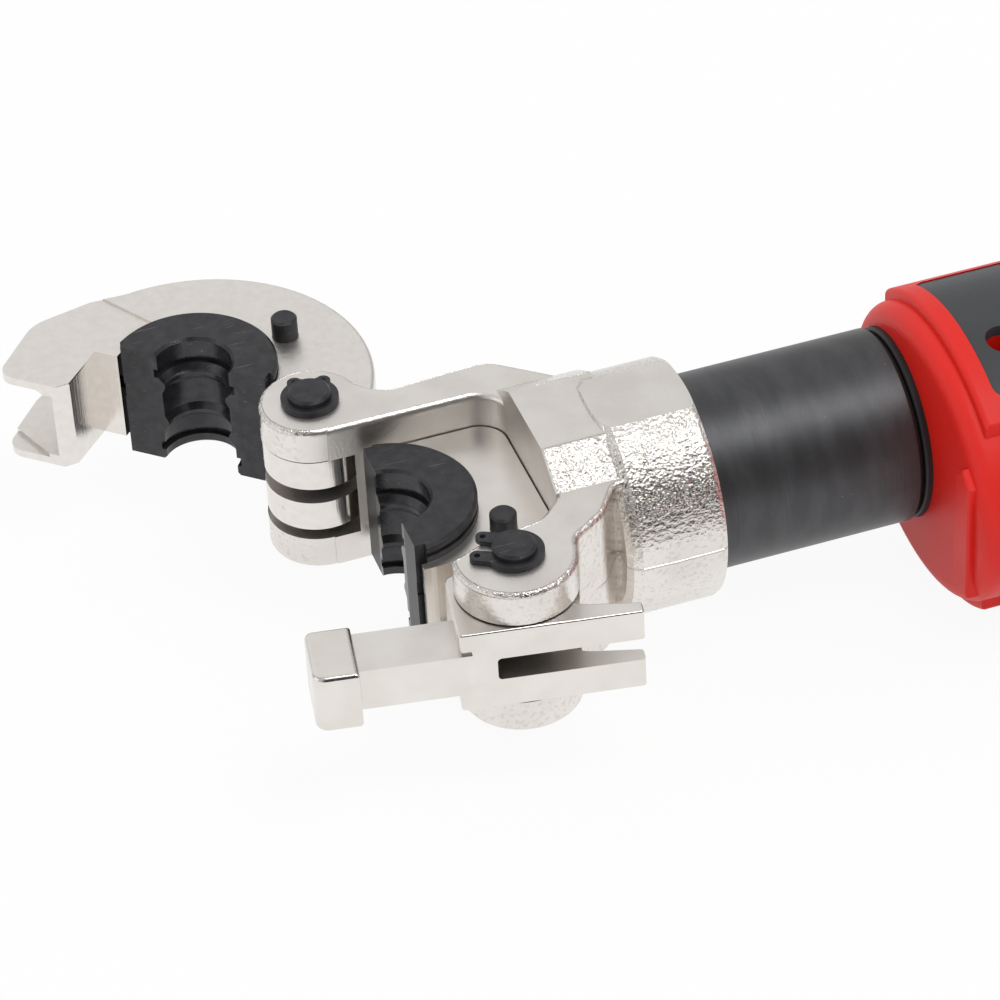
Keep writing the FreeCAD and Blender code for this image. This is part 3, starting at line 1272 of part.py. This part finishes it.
def motor_can():
    """Motor can with its magnets, and a front wall for the shaft."""
    can = body_ring(MOTOR_R, MOTOR_INNER_R, CASE_REAR, MOTOR_REAR)
    return fuse([can, body_ring(MOTOR_R, MOTOR_SHAFT_R + RUN_FIT, CASE_REAR, CASE_REAR + 3)])


def motor_end_bell():
    """Rear motor cap with a bearing hole and air holes."""
    cap = body_ring(MOTOR_R, MOTOR_SHAFT_R + RUN_FIT, MOTOR_REAR, MOTOR_REAR + 5)
    for i in range(6):
        angle = math.pi * i / 3
        cap = cap.cut(rod_x(3, at(MOTOR_REAR - 1), at(MOTOR_REAR + 6), 13 * math.cos(angle), 13 * math.sin(angle)))
    return cap


def motor_rotor():
    """Wound core and commutator on the shaft."""
    return fuse([body_bar(MOTOR_SHAFT_R, GEAR_B - 0.2, MOTOR_REAR + 11),
                 body_bar(MOTOR_INNER_R - 0.7, CASE_REAR + 8, MOTOR_REAR - 9),
                 body_bar(6, MOTOR_REAR - 9.1, MOTOR_REAR - 2)])


def motor_fan():
    """Cooling fan behind the motor."""
    hub = body_ring(5, MOTOR_SHAFT_R, MOTOR_REAR + 6.5, MOTOR_REAR + 10.5)
    fan = [hub]
    for i in range(8):
        blade = body_box(MOTOR_REAR + 6.5, MOTOR_REAR + 10.5, 4, 17, -0.6, 0.6)
        blade.rotate(V(0, 0, 0), X_AXIS, 45 * i)
        fan.append(blade)
    return fuse(fan)


def swivel_ring():
    """Black ring between the neck and the housing."""
    ring = body_ring(OPENING_R - 0.1, REAR_SPIGOT_R + RUN_FIT, -1.7, 4.2)
    return soften(ring, 0.6, lambda edge: abs(edge.BoundBox.XMax - at(-1.7)) < 1e-3)


def body_parts():
    """Every piece behind the neck."""
    upper, lower = shells()
    pieces = {
        "swivel_ring": swivel_ring(),
        "pump_block": pump_block(),
        "pump_plunger": pump_plunger(),
        "plunger_spring": plunger_spring(),
        "relief_valve": relief_valve(),
        "return_valve": return_valve(),
        "release_button": release_button(),
        "release_spring": release_spring(),
        "oil_bladder": oil_bladder(),
        "eccentric_shaft": eccentric_shaft(),
        "eccentric_bearing": eccentric_bearing(),
        "gear_case": gear_case(),
        "planet_carrier": planet_carrier(),
        "sun_pinion": sun_pinion(),
        "motor_can": motor_can(),
        "motor_end_bell": motor_end_bell(),
        "motor_rotor": motor_rotor(),
        "motor_fan": motor_fan(),
        "upper_shell": upper,
        "lower_shell": lower,
        "upper_panel": upper_panel(),
        "lower_panel": mirror_z(plain_panel()),
        "housing_screws": housing_screws(),
        "grip_pad": grip_pad(),
        "trigger": trigger(),
        "trigger_spring": trigger_spring(),
        "trigger_switch": trigger_switch(),
        "control_board": control_board(),
        "contact_block": contact_block(),
        "lamp_lens": lamp_lens(),
        "battery_case": battery_case(),
        "battery_base": battery_base(),
        "battery_cells": battery_cells(),
        "battery_button": battery_button(),
        "battery_button_spring": battery_button_spring(),
    }
    for index in range(PLANET_COUNT):
        pieces["planet_gear_" + str(index + 1)] = planet_gear(index)
    return pieces


def main():
    """Write one file for each piece."""
    os.makedirs("parts", exist_ok=True)
    pieces = head_parts()
    pieces.update(body_parts())
    for name, shape in pieces.items():
        shape.exportStep("parts/" + name + ".step")
        print(name, len(shape.Solids), round(shape.Volume), shape.isValid())


main()
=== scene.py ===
import json
import math

import bpy
from mathutils import Matrix, Vector


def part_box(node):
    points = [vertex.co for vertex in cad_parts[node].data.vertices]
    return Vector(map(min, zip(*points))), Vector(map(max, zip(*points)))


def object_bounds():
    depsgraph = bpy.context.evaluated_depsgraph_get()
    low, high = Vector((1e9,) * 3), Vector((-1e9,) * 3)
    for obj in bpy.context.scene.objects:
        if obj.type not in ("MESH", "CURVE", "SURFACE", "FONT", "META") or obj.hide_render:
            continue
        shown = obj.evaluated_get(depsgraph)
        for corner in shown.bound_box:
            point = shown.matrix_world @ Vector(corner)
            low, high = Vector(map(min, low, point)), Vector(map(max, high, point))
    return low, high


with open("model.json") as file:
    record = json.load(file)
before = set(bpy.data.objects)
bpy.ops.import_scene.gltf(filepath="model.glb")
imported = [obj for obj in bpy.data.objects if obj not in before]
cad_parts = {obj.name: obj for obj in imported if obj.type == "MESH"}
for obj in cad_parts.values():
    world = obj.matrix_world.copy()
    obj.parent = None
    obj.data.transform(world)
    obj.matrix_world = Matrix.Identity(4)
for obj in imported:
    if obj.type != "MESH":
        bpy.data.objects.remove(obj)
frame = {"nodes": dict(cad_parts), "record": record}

CAD_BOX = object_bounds()
MM = 0.001

# Camera: a long lens above the near side, rolled a little. AIM is a point on the neck's axis, seen AIM_RIGHT
# to the right of the picture's middle and AIM_UP above it.
LENS_MM = 172.8
SENSOR_MM = 36
CAMERA_TURN = math.radians(16.92)
CAMERA_DOWN = math.radians(39.27)
CAMERA_ROLL = math.radians(-3.39)
CAMERA_REACH = 1.100
CAMERA_FAR_LIMIT = 20
AIM = Vector((0.0663, 0.0, 0.0))
AIM_RIGHT = 0.03827
AIM_UP = 0.004675

# Floor: half its side, its height just below the tool, its paint, and how white it shows
FLOOR_HALF = 6.0
FLOOR_Z = CAD_BOX[0][2] - 0.1 * MM
FLOOR_PAINT = 0.88
FLOOR_WHITE = 0.93

# Tent of light round the tool: its strength as seen in the metal, its dim opening on the camera's side, and
# the strength with which it lights the tool. The dimming starts and ends at two cosines from the opening.
TENT_WHITE = 0.70
TENT_DARK = 0.05
TENT_FILL = 0.85
OPENING = (0.10, -0.92, 0.38)
OPENING_EDGE = 0.68
OPENING_HEART = 0.86

# Square lamps, all aimed at one place: where each hangs, its side in metres and its power in watts
LIT_PLACE = (0.06, -0.02, 0.0)
LAMPS = {
    "overhead": ((0.42, -0.46, 1.45), 0.75, 9),
    "far_side": ((-0.2, 1.5, 1.1), 2.0, 4),
    "left_side": ((-1.7, 0.1, 0.7), 1.2, 3),
}

# Places on the tool that its finishes follow: the yoke's rear, its collar's front, its window's rear and half
# width, and the bores of the two dies
YOKE_REAR_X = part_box("yoke")[1][0]
COLLAR_START_X = YOKE_REAR_X - 23.8 * MM
WINDOW_REAR_X = YOKE_REAR_X - 37.5 * MM
WINDOW_HALF = 22.5 * MM
DIE_BORE_R = 10.7 * MM
DIE_CENTRES = [mount["pos_m"][:2] for mount in frame["record"]["mounts"] if mount["kind"] == "clamp"]

# Upright share of a normal at which a face starts to count as flat, and at which it is wholly flat
FLAT_FROM = 0.93
FLAT_FULL = 0.985

# Wave of the grip's slanting ribs: how far it turns for each metre along X and along Y, in radians
RIB_WAVE_X = 204
RIB_WAVE_Y = 935


class Amount:
    """One number that varies over a surface. Arithmetic on it adds Math nodes to its tree."""

    def __init__(self, tree, socket):
        self.tree = tree
        self.socket = socket

    def maths(self, operation, *terms):
        """Result of one Math node on some terms."""
        node = self.tree.node("ShaderNodeMath", {"operation": operation}, dict(enumerate(terms)))
        return Amount(self.tree, node.outputs[0])

    def __add__(self, other):
        return self.maths("ADD", self, other)

    def __radd__(self, other):
        return self.maths("ADD", other, self)

    def __sub__(self, other):
        return self.maths("SUBTRACT", self, other)

    def __rsub__(self, other):
        return self.maths("SUBTRACT", other, self)

    def __mul__(self, other):
        return self.maths("MULTIPLY", self, other)

    def __rmul__(self, other):
        return self.maths("MULTIPLY", other, self)

    def __pow__(self, other):
        return self.maths("POWER", self, other)

    def __abs__(self):
        return self.maths("ABSOLUTE", self)

    def sine(self):
        return self.maths("SINE", self)

    def most(self, other):
        return self.maths("MAXIMUM", self, other)

    def least(self, other):
        return self.maths("MINIMUM", self, other)

    def rise(self, low, high):
        """0 below low, 1 above high and smooth between; falls instead where low is above high."""
        settings = {"interpolation_type": "SMOOTHSTEP"}
        node = self.tree.node("ShaderNodeMapRange", settings, {0: self, 1: low, 2: high})
        return Amount(self.tree, node.outputs[0])


class Tree:
    """Node tree of a material or of the world, with one method that adds nodes."""

    def __init__(self, owner):
        owner.use_nodes = True
        self.tree = owner.node_tree
        self.tree.nodes.clear()

    def node(self, kind, settings=None, sockets=None):
        """Adds a node of a type, sets its settings, then gives its sockets values or links."""
        node = self.tree.nodes.new(kind)
        for name, value in (settings or {}).items():
            setattr(node, name, value)
        for name, value in (sockets or {}).items():
            if isinstance(value, Amount):
                value = value.socket
            if isinstance(value, bpy.types.NodeSocket):
                self.tree.links.new(value, node.inputs[name])
            else:
                node.inputs[name].default_value = value
        return node

    def seen_directly(self):
        """1 on rays from the camera, from gloss and through glass, and 0 on light that spreads."""
        path = self.node("ShaderNodeLightPath")
        rays = ("Is Camera Ray", "Is Glossy Ray", "Is Transmission Ray")
        camera, gloss, glass = (Amount(self, path.outputs[ray]) for ray in rays)
        return camera.most(gloss).most(glass)


class Finish(Tree):
    """A material for one of the tool's surfaces, with its pattern in the piece's own coordinates."""

    def __init__(self, name, **constants):
        self.material = bpy.data.materials.new(name)
        super().__init__(self.material)
        self.shader = self.node("ShaderNodeBsdfPrincipled", None, constants)
        self.node("ShaderNodeOutputMaterial", None, {0: self.shader.outputs[0]})
        coordinates = self.node("ShaderNodeTexCoord")
        self.place = coordinates.outputs["Object"]
        place = self.node("ShaderNodeSeparateXYZ", None, {0: self.place})
        facing = self.node("ShaderNodeSeparateXYZ", None, {0: coordinates.outputs["Normal"]})
        self.x, self.y, self.z = (Amount(self, socket) for socket in place.outputs)
        self.facing_up = Amount(self, facing.outputs[2])

    def flat(self):
        """1 on faces that look straight up or down, 0 on the rest."""
        return abs(self.facing_up).rise(FLAT_FROM, FLAT_FULL)

    def spread(self, size, stretch=(1, 1, 1)):
        """The piece's own coordinates in units of a size in metres, stretched along the axes."""
        scale = [1 / (size * share) for share in stretch]
        return self.node("ShaderNodeMapping", None, {"Vector": self.place, "Scale": scale}).outputs[0]

    def grain(self, size, detail=3.0, stretch=(1, 1, 1), roughness=0.5):
        """Noise from 0 to 1 with grains of about a size in metres, longer along a stretched axis."""
        place = self.spread(size, stretch)
        sockets = {"Vector": place, "Scale": 1.0, "Detail": detail, "Roughness": roughness}
        return Amount(self, self.node("ShaderNodeTexNoise", None, sockets).outputs[0])

    def dots(self, size, feature="F1"):
        """Distance to the nearest scattered point, or with F2 to the second nearest, in sizes."""
        sockets = {"Vector": self.spread(size), "Scale": 1.0}
        return Amount(self, self.node("ShaderNodeTexVoronoi", {"feature": feature}, sockets).outputs[0])

    def blend(self, share, first, second):
        """Colour that goes from first to second as the share goes from 0 to 1."""
        node = self.node("ShaderNodeMix", {"data_type": "RGBA"}, {0: share, 6: first, 7: second})
        return node.outputs[2]

    def relief(self, height, depth, under=None):
        """Normal for a height field of 0 to 1, whose full height is depth metres, over another normal."""
        sockets = {"Height": height, "Distance": depth, "Strength": 1.0}
        if under is not None:
            sockets["Normal"] = under
        return self.node("ShaderNodeBump", None, sockets).outputs[0]

    def feed(self, **sockets):
        """Links varying values to the shader's sockets; an underscore stands for a space."""
        for name, value in sockets.items():
            value = value.socket if isinstance(value, Amount) else value
            self.tree.links.new(value, self.shader.inputs[name.replace("_", " ")])
        return self.material


def colour(red, green, blue):
    """Opaque colour."""
    return (red, green, blue, 1.0)


def plated_casting():
    """Bright nickel over a coarse casting: pebbled where cast, finely ground on the flats."""
    finish = Finish("nickel_plated_casting", Metallic=1.0)
    between_arms = abs(finish.y).rise(WINDOW_HALF + 3 * MM, WINDOW_HALF)
    before_crown = finish.x.rise(WINDOW_REAR_X + 0.5 * MM, WINDOW_REAR_X)
    smooth = finish.flat().most(between_arms * before_crown)
    underside = finish.facing_up.rise(0.30, 0.05)
    pebbles = finish.grain(1.1 * MM, 3.0, roughness=0.55)
    fine = finish.grain(0.3 * MM, 2.0)
    blast = finish.grain(0.8 * MM, 3.0)
    blotches = finish.grain(12 * MM, 3.0)
    seam = finish.z + (blotches - 0.5) * (0.8 * MM)
    parting_line = abs(seam).rise(0.35 * MM, 0.1 * MM) * finish.x.rise(WINDOW_REAR_X, COLLAR_START_X)
    coarse = pebbles * (1 - smooth) * (1 - underside * 0.75) + parting_line * 0.5
    normal = finish.relief(blast * 0.6 + fine * 0.4, 0.07 * MM, finish.relief(coarse, 0.55 * MM))
    pits = pebbles.rise(0.50, 0.3) * (1 - smooth)
    tint = finish.blend(blotches.rise(0.35, 0.7), colour(0.80, 0.765, 0.725), colour(0.74, 0.70, 0.66))
    tint = finish.blend(pits * 0.25, tint, colour(0.34, 0.31, 0.28))
    roughness = 0.12 + smooth * 0.20 + blotches * 0.06 + fine * 0.06
    return finish.feed(Base_Color=tint, Roughness=roughness, Normal=normal)


def plated_forging():
    """Bright nickel over a ground forging, with a faint mottle and a few dull marks."""
    finish = Finish("nickel_plated_forging", Metallic=1.0)
    flat = finish.flat()
    mottle = finish.grain(2.2 * MM, 3.0)
    fine = finish.grain(0.4 * MM, 3.0)
    side = finish.grain(0.5 * MM, 3.0, stretch=(1, 1, 30))
    normal = finish.relief(fine * flat + side * (1 - flat), 0.04 * MM, finish.relief(mottle * flat, 0.1 * MM))
    marks = finish.dots(6 * MM).rise(0.16, 0.05) * finish.grain(10 * MM).rise(0.55, 0.7)
    tint = finish.blend(mottle.rise(0.3, 0.75), colour(0.81, 0.775, 0.735), colour(0.77, 0.73, 0.69))
    tint = finish.blend(marks * 0.3, tint, colour(0.35, 0.31, 0.27))
    roughness = 0.15 + flat * 0.18 + side * 0.10
    return finish.feed(Base_Color=tint, Roughness=roughness, Normal=normal)


def plated_machined():
    """Bright nickel over milled faces, with fine upright brush lines."""
    finish = Finish("nickel_plated_machined", Metallic=1.0)
    flat = finish.flat()
    brushed = finish.grain(0.4 * MM, 3.0, stretch=(1, 1, 40))
    broad = finish.grain(10 * MM, 2.0)
    fine = finish.grain(0.5 * MM, 2.0)
    normal = finish.relief(brushed * (1 - flat) * 0.8 + fine * (0.2 + flat * 0.5), 0.03 * MM)
    tint = finish.blend(broad.rise(0.3, 0.7), colour(0.81, 0.775, 0.735), colour(0.76, 0.72, 0.675))
    roughness = 0.13 + flat * 0.14 + brushed * 0.08 + broad * 0.06
    return finish.feed(Base_Color=tint, Roughness=roughness, Normal=normal)


def black_oxide():
    """Blackened steel with a soft sheen, fine scratches and dust, oiled and glossy in the dies' bores."""
    finish = Finish("black_oxide_steel", Metallic=0.55, IOR=1.6)
    ram_die, jaw_die = (((finish.x - x) ** 2 + (finish.y - y) ** 2) ** 0.5 for x, y in DIE_CENTRES)
    in_bore = ram_die.least(jaw_die).rise(DIE_BORE_R + 0.4 * MM, DIE_BORE_R)
    bore_wall = in_bore * abs(finish.facing_up).rise(0.9, 0.6)
    mottle = finish.grain(3 * MM, 4.0)
    scratches = finish.grain(0.7 * MM, 2.0, stretch=(14, 1, 1)).rise(0.66, 0.74)
    dust = finish.dots(3 * MM).rise(0.10, 0.04) * finish.grain(6 * MM).rise(0.55, 0.62)
    tint = finish.blend(mottle.rise(0.3, 0.7), colour(0.026, 0.026, 0.029), colour(0.044, 0.044, 0.048))
    tint = finish.blend(scratches * 0.25 + dust * 0.3, tint, colour(0.22, 0.21, 0.20))
    normal = finish.relief(finish.grain(0.4 * MM, 3.0) + mottle * 0.5, 0.04 * MM)
    roughness = 0.36 + mottle * 0.14 - scratches * 0.08 - bore_wall * 0.24
    return finish.feed(Base_Color=tint, Roughness=roughness, Normal=normal)


def black_turned():
    """Blackened steel turned on a lathe about X, with rings, rubbed streaks and pale specks."""
    finish = Finish("black_turned_steel", Metallic=0.7, IOR=1.6)
    rings = finish.grain(0.5 * MM, 3.0, stretch=(0.35, 30, 30))
    rubbed = finish.grain(4 * MM, 3.0, stretch=(1, 3, 3))
    specks = finish.dots(2.6 * MM).rise(0.10, 0.04) * finish.grain(9 * MM, 3.0).rise(0.54, 0.64)
    tint = finish.blend(rubbed.rise(0.35, 0.7), colour(0.066, 0.067, 0.071), colour(0.084, 0.085, 0.090))
    tint = finish.blend(specks * 0.35 + rings.rise(0.58, 0.8) * 0.12, tint, colour(0.35, 0.34, 0.33))
    roughness = 0.34 + rings * 0.12 + rubbed * 0.05
    return finish.feed(Base_Color=tint, Roughness=roughness, Normal=finish.relief(rings, 0.04 * MM))


def moulded(name, tone, deep, roughness, grain_size, depth):
    """Moulded plastic with a fine spark grain and slight shade changes."""
    finish = Finish(name, IOR=1.42)
    spark = finish.grain(grain_size, 2.0)
    broad = finish.grain(30 * MM, 2.0)
    tint = finish.blend(broad.rise(0.3, 0.75) * 0.6 + spark * 0.15, tone, deep)
    sheen = roughness - 0.06 + broad * 0.1 + spark * 0.05
    return finish.feed(Base_Color=tint, Roughness=sheen, Normal=finish.relief(spark, depth))


def grip_rubber():
    """Soft black rubber with slanting grip ribs."""
    finish = Finish("grip_rubber", IOR=1.5)
    ribs = (finish.x * RIB_WAVE_X + finish.y * RIB_WAVE_Y).sine().rise(-0.2, 0.6)
    fine = finish.grain(0.4 * MM, 2.0)
    tint = finish.blend(ribs * 0.5 + fine * 0.2, colour(0.012, 0.012, 0.013), colour(0.032, 0.032, 0.034))
    normal = finish.relief(ribs, 0.6 * MM, finish.relief(fine, 0.06 * MM))
    return finish.feed(Base_Color=tint, Roughness=0.62 + fine * 0.15 - ribs * 0.08, Normal=normal)


def spring_wire():
    """Dark drawn wire."""
    finish = Finish("spring_wire", Metallic=0.9)
    drawn = finish.grain(0.6 * MM, 3.0)
    tint = finish.blend(drawn.rise(0.3, 0.7), colour(0.030, 0.030, 0.033), colour(0.085, 0.083, 0.08))
    return finish.feed(Base_Color=tint, Roughness=0.3 + drawn * 0.2, Normal=finish.relief(drawn, 0.03 * MM))


def bare_metal(name, light, dark, grain_size, roughness):
    """Uncoated machined metal with tool marks and oil stains."""
    finish = Finish(name, Metallic=1.0)
    marks = finish.grain(grain_size, 3.0, stretch=(0.4, 12, 12))
    stains = finish.grain(9 * MM, 4.0)
    tint = finish.blend(stains.rise(0.35, 0.7), light, dark)
    sheen = roughness + marks * 0.12 + stains * 0.08
    return finish.feed(Base_Color=tint, Roughness=sheen, Normal=finish.relief(marks, 0.03 * MM))


def circuit_board():
    """Green coated board with copper tracks under the coat."""
    finish = Finish("coated_board", IOR=1.5)
    tracks = finish.dots(4 * MM, feature="F2").rise(0.5, 0.62)
    fine = finish.grain(0.8 * MM)
    tint = finish.blend(tracks, colour(0.012, 0.10, 0.04), colour(0.03, 0.19, 0.07))
    return finish.feed(Base_Color=tint, Roughness=0.32 + fine * 0.15, Normal=finish.relief(tracks, 0.08 * MM))


def lamp_glass():
    """Clear moulded lens with a faint frost."""
    finish = Finish("lamp_lens_clear", IOR=1.49)
    frost = finish.grain(0.6 * MM, 2.0)
    tint = finish.blend(frost, colour(0.86, 0.89, 0.92), colour(0.70, 0.74, 0.80))
    return finish.feed(Base_Color=tint, Roughness=0.10 + frost * 0.12, Normal=finish.relief(frost, 0.08 * MM))


def cell_sleeve():
    """Shrink sleeve over a round cell."""
    finish = Finish("cell_sleeve", IOR=1.5)
    broad = finish.grain(12 * MM, 2.0)
    fine = finish.grain(0.6 * MM, 2.0)
    tint = finish.blend(broad.rise(0.3, 0.7), colour(0.05, 0.17, 0.36), colour(0.08, 0.24, 0.45))
    return finish.feed(Base_Color=tint, Roughness=0.3 + fine * 0.1, Normal=finish.relief(fine, 0.03 * MM))


def red_plastic():
    """Red plastic of the housing and of the battery's button."""
    return moulded("red_moulded_shell", colour(0.74, 0.013, 0.006), colour(0.68, 0.010, 0.005), 0.48,
                   0.45 * MM, 0.03 * MM)


def grey_plastic():
    """Grey plastic of the housing's two panels."""
    return moulded("grey_moulded_panel", colour(0.050, 0.052, 0.056), colour(0.036, 0.038, 0.042), 0.46,
                   0.6 * MM, 0.04 * MM)


def black_plastic():
    """Black plastic of the trigger, the battery and the small fittings."""
    return moulded("black_moulded_plastic", colour(0.020, 0.020, 0.022), colour(0.013, 0.013, 0.015), 0.5,
                   0.5 * MM, 0.05 * MM)


def seal_rubber():
    """Dull black rubber of the piston's seal and the oil bladder."""
    return moulded("seal_rubber", colour(0.018, 0.018, 0.019), colour(0.010, 0.010, 0.011), 0.68,
                   0.4 * MM, 0.04 * MM)


def ground_steel():
    """Pale ground steel."""
    return bare_metal("ground_steel", colour(0.60, 0.60, 0.61), colour(0.46, 0.45, 0.44), 0.6 * MM, 0.24)


def gear_steel():
    """Darker hardened steel of the gears, shafts and valves."""
    return bare_metal("gear_steel", colour(0.46, 0.46, 0.48), colour(0.32, 0.31, 0.31), 0.5 * MM, 0.30)


def bearing_bronze():
    """Bronze of the rod's bush."""
    return bare_metal("bearing_bronze", colour(0.66, 0.45, 0.22), colour(0.50, 0.32, 0.15), 0.6 * MM, 0.30)


# Each finish and the nodes that wear it
DRESSING = [
    (plated_casting, ["yoke"]),
    (plated_forging, ["swing_jaw"]),
    (plated_machined, ["latch", "ram_holder"]),
    (black_oxide, ["fixed_die", "moving_die", "jaw_hinge_pin", "latch_pin", "pin_circlips", "jaw_lock_button",
                   "ram_lock_button", "housing_screws"]),
    (black_turned, ["neck_cylinder"]),
    (red_plastic, ["upper_shell", "lower_shell", "battery_button"]),
    (grey_plastic, ["upper_panel", "lower_panel"]),
    (black_plastic, ["swivel_ring", "release_button", "trigger", "trigger_switch", "contact_block",
                     "motor_end_bell", "motor_fan", "battery_case", "battery_base"]),
    (seal_rubber, ["piston_seal", "oil_bladder"]),
    (spring_wire, ["jaw_lock_spring", "ram_lock_spring", "jaw_hinge_spring", "latch_spring", "return_spring",
                   "plunger_spring", "release_spring", "trigger_spring", "battery_button_spring"]),
    (ground_steel, ["piston_rod", "pump_block", "jaw_lock_plunger", "ram_lock_plunger", "motor_can",
                    "eccentric_bearing"]),
    (gear_steel, ["pump_plunger", "relief_valve", "return_valve", "eccentric_shaft", "gear_case",
                  "planet_carrier", "planet_gear_1", "planet_gear_2", "planet_gear_3", "sun_pinion",
                  "motor_rotor"]),
    (bearing_bronze, ["rod_bush"]),
    (grip_rubber, ["grip_pad"]),
    (circuit_board, ["control_board"]),
    (lamp_glass, ["lamp_lens"]),
    (cell_sleeve, ["battery_cells"]),
]


def dress_nodes():
    """Gives every CAD node its finish, in its material slots."""
    for make_finish, names in DRESSING:
        material = make_finish()
        for name in names:
            slots = frame["nodes"][name].data.materials
            if len(slots) == 0:
                slots.append(material)
            for index in range(len(slots)):
                slots[index] = material


def camera():
    """Camera at the photograph's viewing angle, turned about Z, tilted down, then rolled about its view."""
    level_reach = math.cos(CAMERA_DOWN)
    forward = Vector((math.sin(CAMERA_TURN) * level_reach, math.cos(CAMERA_TURN) * level_reach,
                      -math.sin(CAMERA_DOWN)))
    level = Vector((math.cos(CAMERA_TURN), -math.sin(CAMERA_TURN), 0))
    above = level.cross(forward)
    right = level * math.cos(CAMERA_ROLL) + above * math.sin(CAMERA_ROLL)
    up = above * math.cos(CAMERA_ROLL) - level * math.sin(CAMERA_ROLL)
    data = bpy.data.cameras.new("view")
    data.lens = LENS_MM
    data.sensor_width = SENSOR_MM
    data.clip_end = CAMERA_FAR_LIMIT
    eye = bpy.data.objects.new("view", data)
    place = AIM - (forward * CAMERA_REACH + right * AIM_RIGHT + up * AIM_UP)
    turned = Matrix((right, up, -forward)).transposed()
    eye.matrix_world = Matrix.Translation(place) @ turned.to_4x4()
    bpy.context.scene.collection.objects.link(eye)
    bpy.context.scene.camera = eye


def soft_light(name, place, side, power):
    """Square soft light aimed at the lit place."""
    data = bpy.data.lights.new(name, "AREA")
    data.shape = "SQUARE"
    data.size = side
    data.energy = power
    lamp = bpy.data.objects.new(name, data)
    direction = Vector(LIT_PLACE) - Vector(place)
    turned = direction.to_track_quat("-Z", "Y").to_matrix().to_4x4()
    lamp.matrix_world = Matrix.Translation(Vector(place)) @ turned
    bpy.context.scene.collection.objects.link(lamp)


def floor():
    """Plain white floor that keeps a faint shadow."""
    signs = ((-1, -1), (1, -1), (1, 1), (-1, 1))
    edge = [(x * FLOOR_HALF, y * FLOOR_HALF, FLOOR_Z) for x, y in signs]
    mesh = bpy.data.meshes.new("floor")
    mesh.from_pydata(edge, [], [(0, 1, 2, 3)])
    ground = bpy.data.objects.new("floor", mesh)
    bpy.context.scene.collection.objects.link(ground)
    material = bpy.data.materials.new("white_floor")
    tree = Tree(material)
    paint = tree.node("ShaderNodeBsdfDiffuse", None, {"Color": colour(FLOOR_PAINT, FLOOR_PAINT, FLOOR_PAINT)})
    white = tree.node("ShaderNodeEmission")
    share = tree.seen_directly() * FLOOR_WHITE
    mix = tree.node("ShaderNodeMixShader", None, {0: share, 1: paint.outputs[0], 2: white.outputs[0]})
    tree.node("ShaderNodeOutputMaterial", None, {0: mix.outputs[0]})
    mesh.materials.append(material)


def tent():
    """World as a pale tent: dimmer in the opening where metal shows it, and even where it only lights."""
    world = bpy.data.worlds.new("studio")
    bpy.context.scene.world = world
    tree = Tree(world)
    direction = tree.node("ShaderNodeTexCoord").outputs["Generated"]
    towards = tree.node("ShaderNodeVectorMath", {"operation": "DOT_PRODUCT"}, {0: direction, 1: OPENING})
    opening = Amount(tree, towards.outputs["Value"]).rise(OPENING_EDGE, OPENING_HEART)
    strength = TENT_WHITE - opening * (TENT_WHITE - TENT_DARK)
    seen = tree.node("ShaderNodeBackground", None, {"Strength": strength}).outputs[0]
    spread = tree.node("ShaderNodeBackground", None, {"Strength": TENT_FILL}).outputs[0]
    mix = tree.node("ShaderNodeMixShader", None, {0: tree.seen_directly(), 1: spread, 2: seen})
    tree.node("ShaderNodeOutputWorld", None, {0: mix.outputs[0]})


def studio():
    """Floor, tent and lamps."""
    floor()
    tent()
    for name, (place, side, power) in LAMPS.items():
        soft_light(name, place, side, power)


dress_nodes()
camera()
studio()
bpy.context.scene.view_settings.view_transform = "Standard"
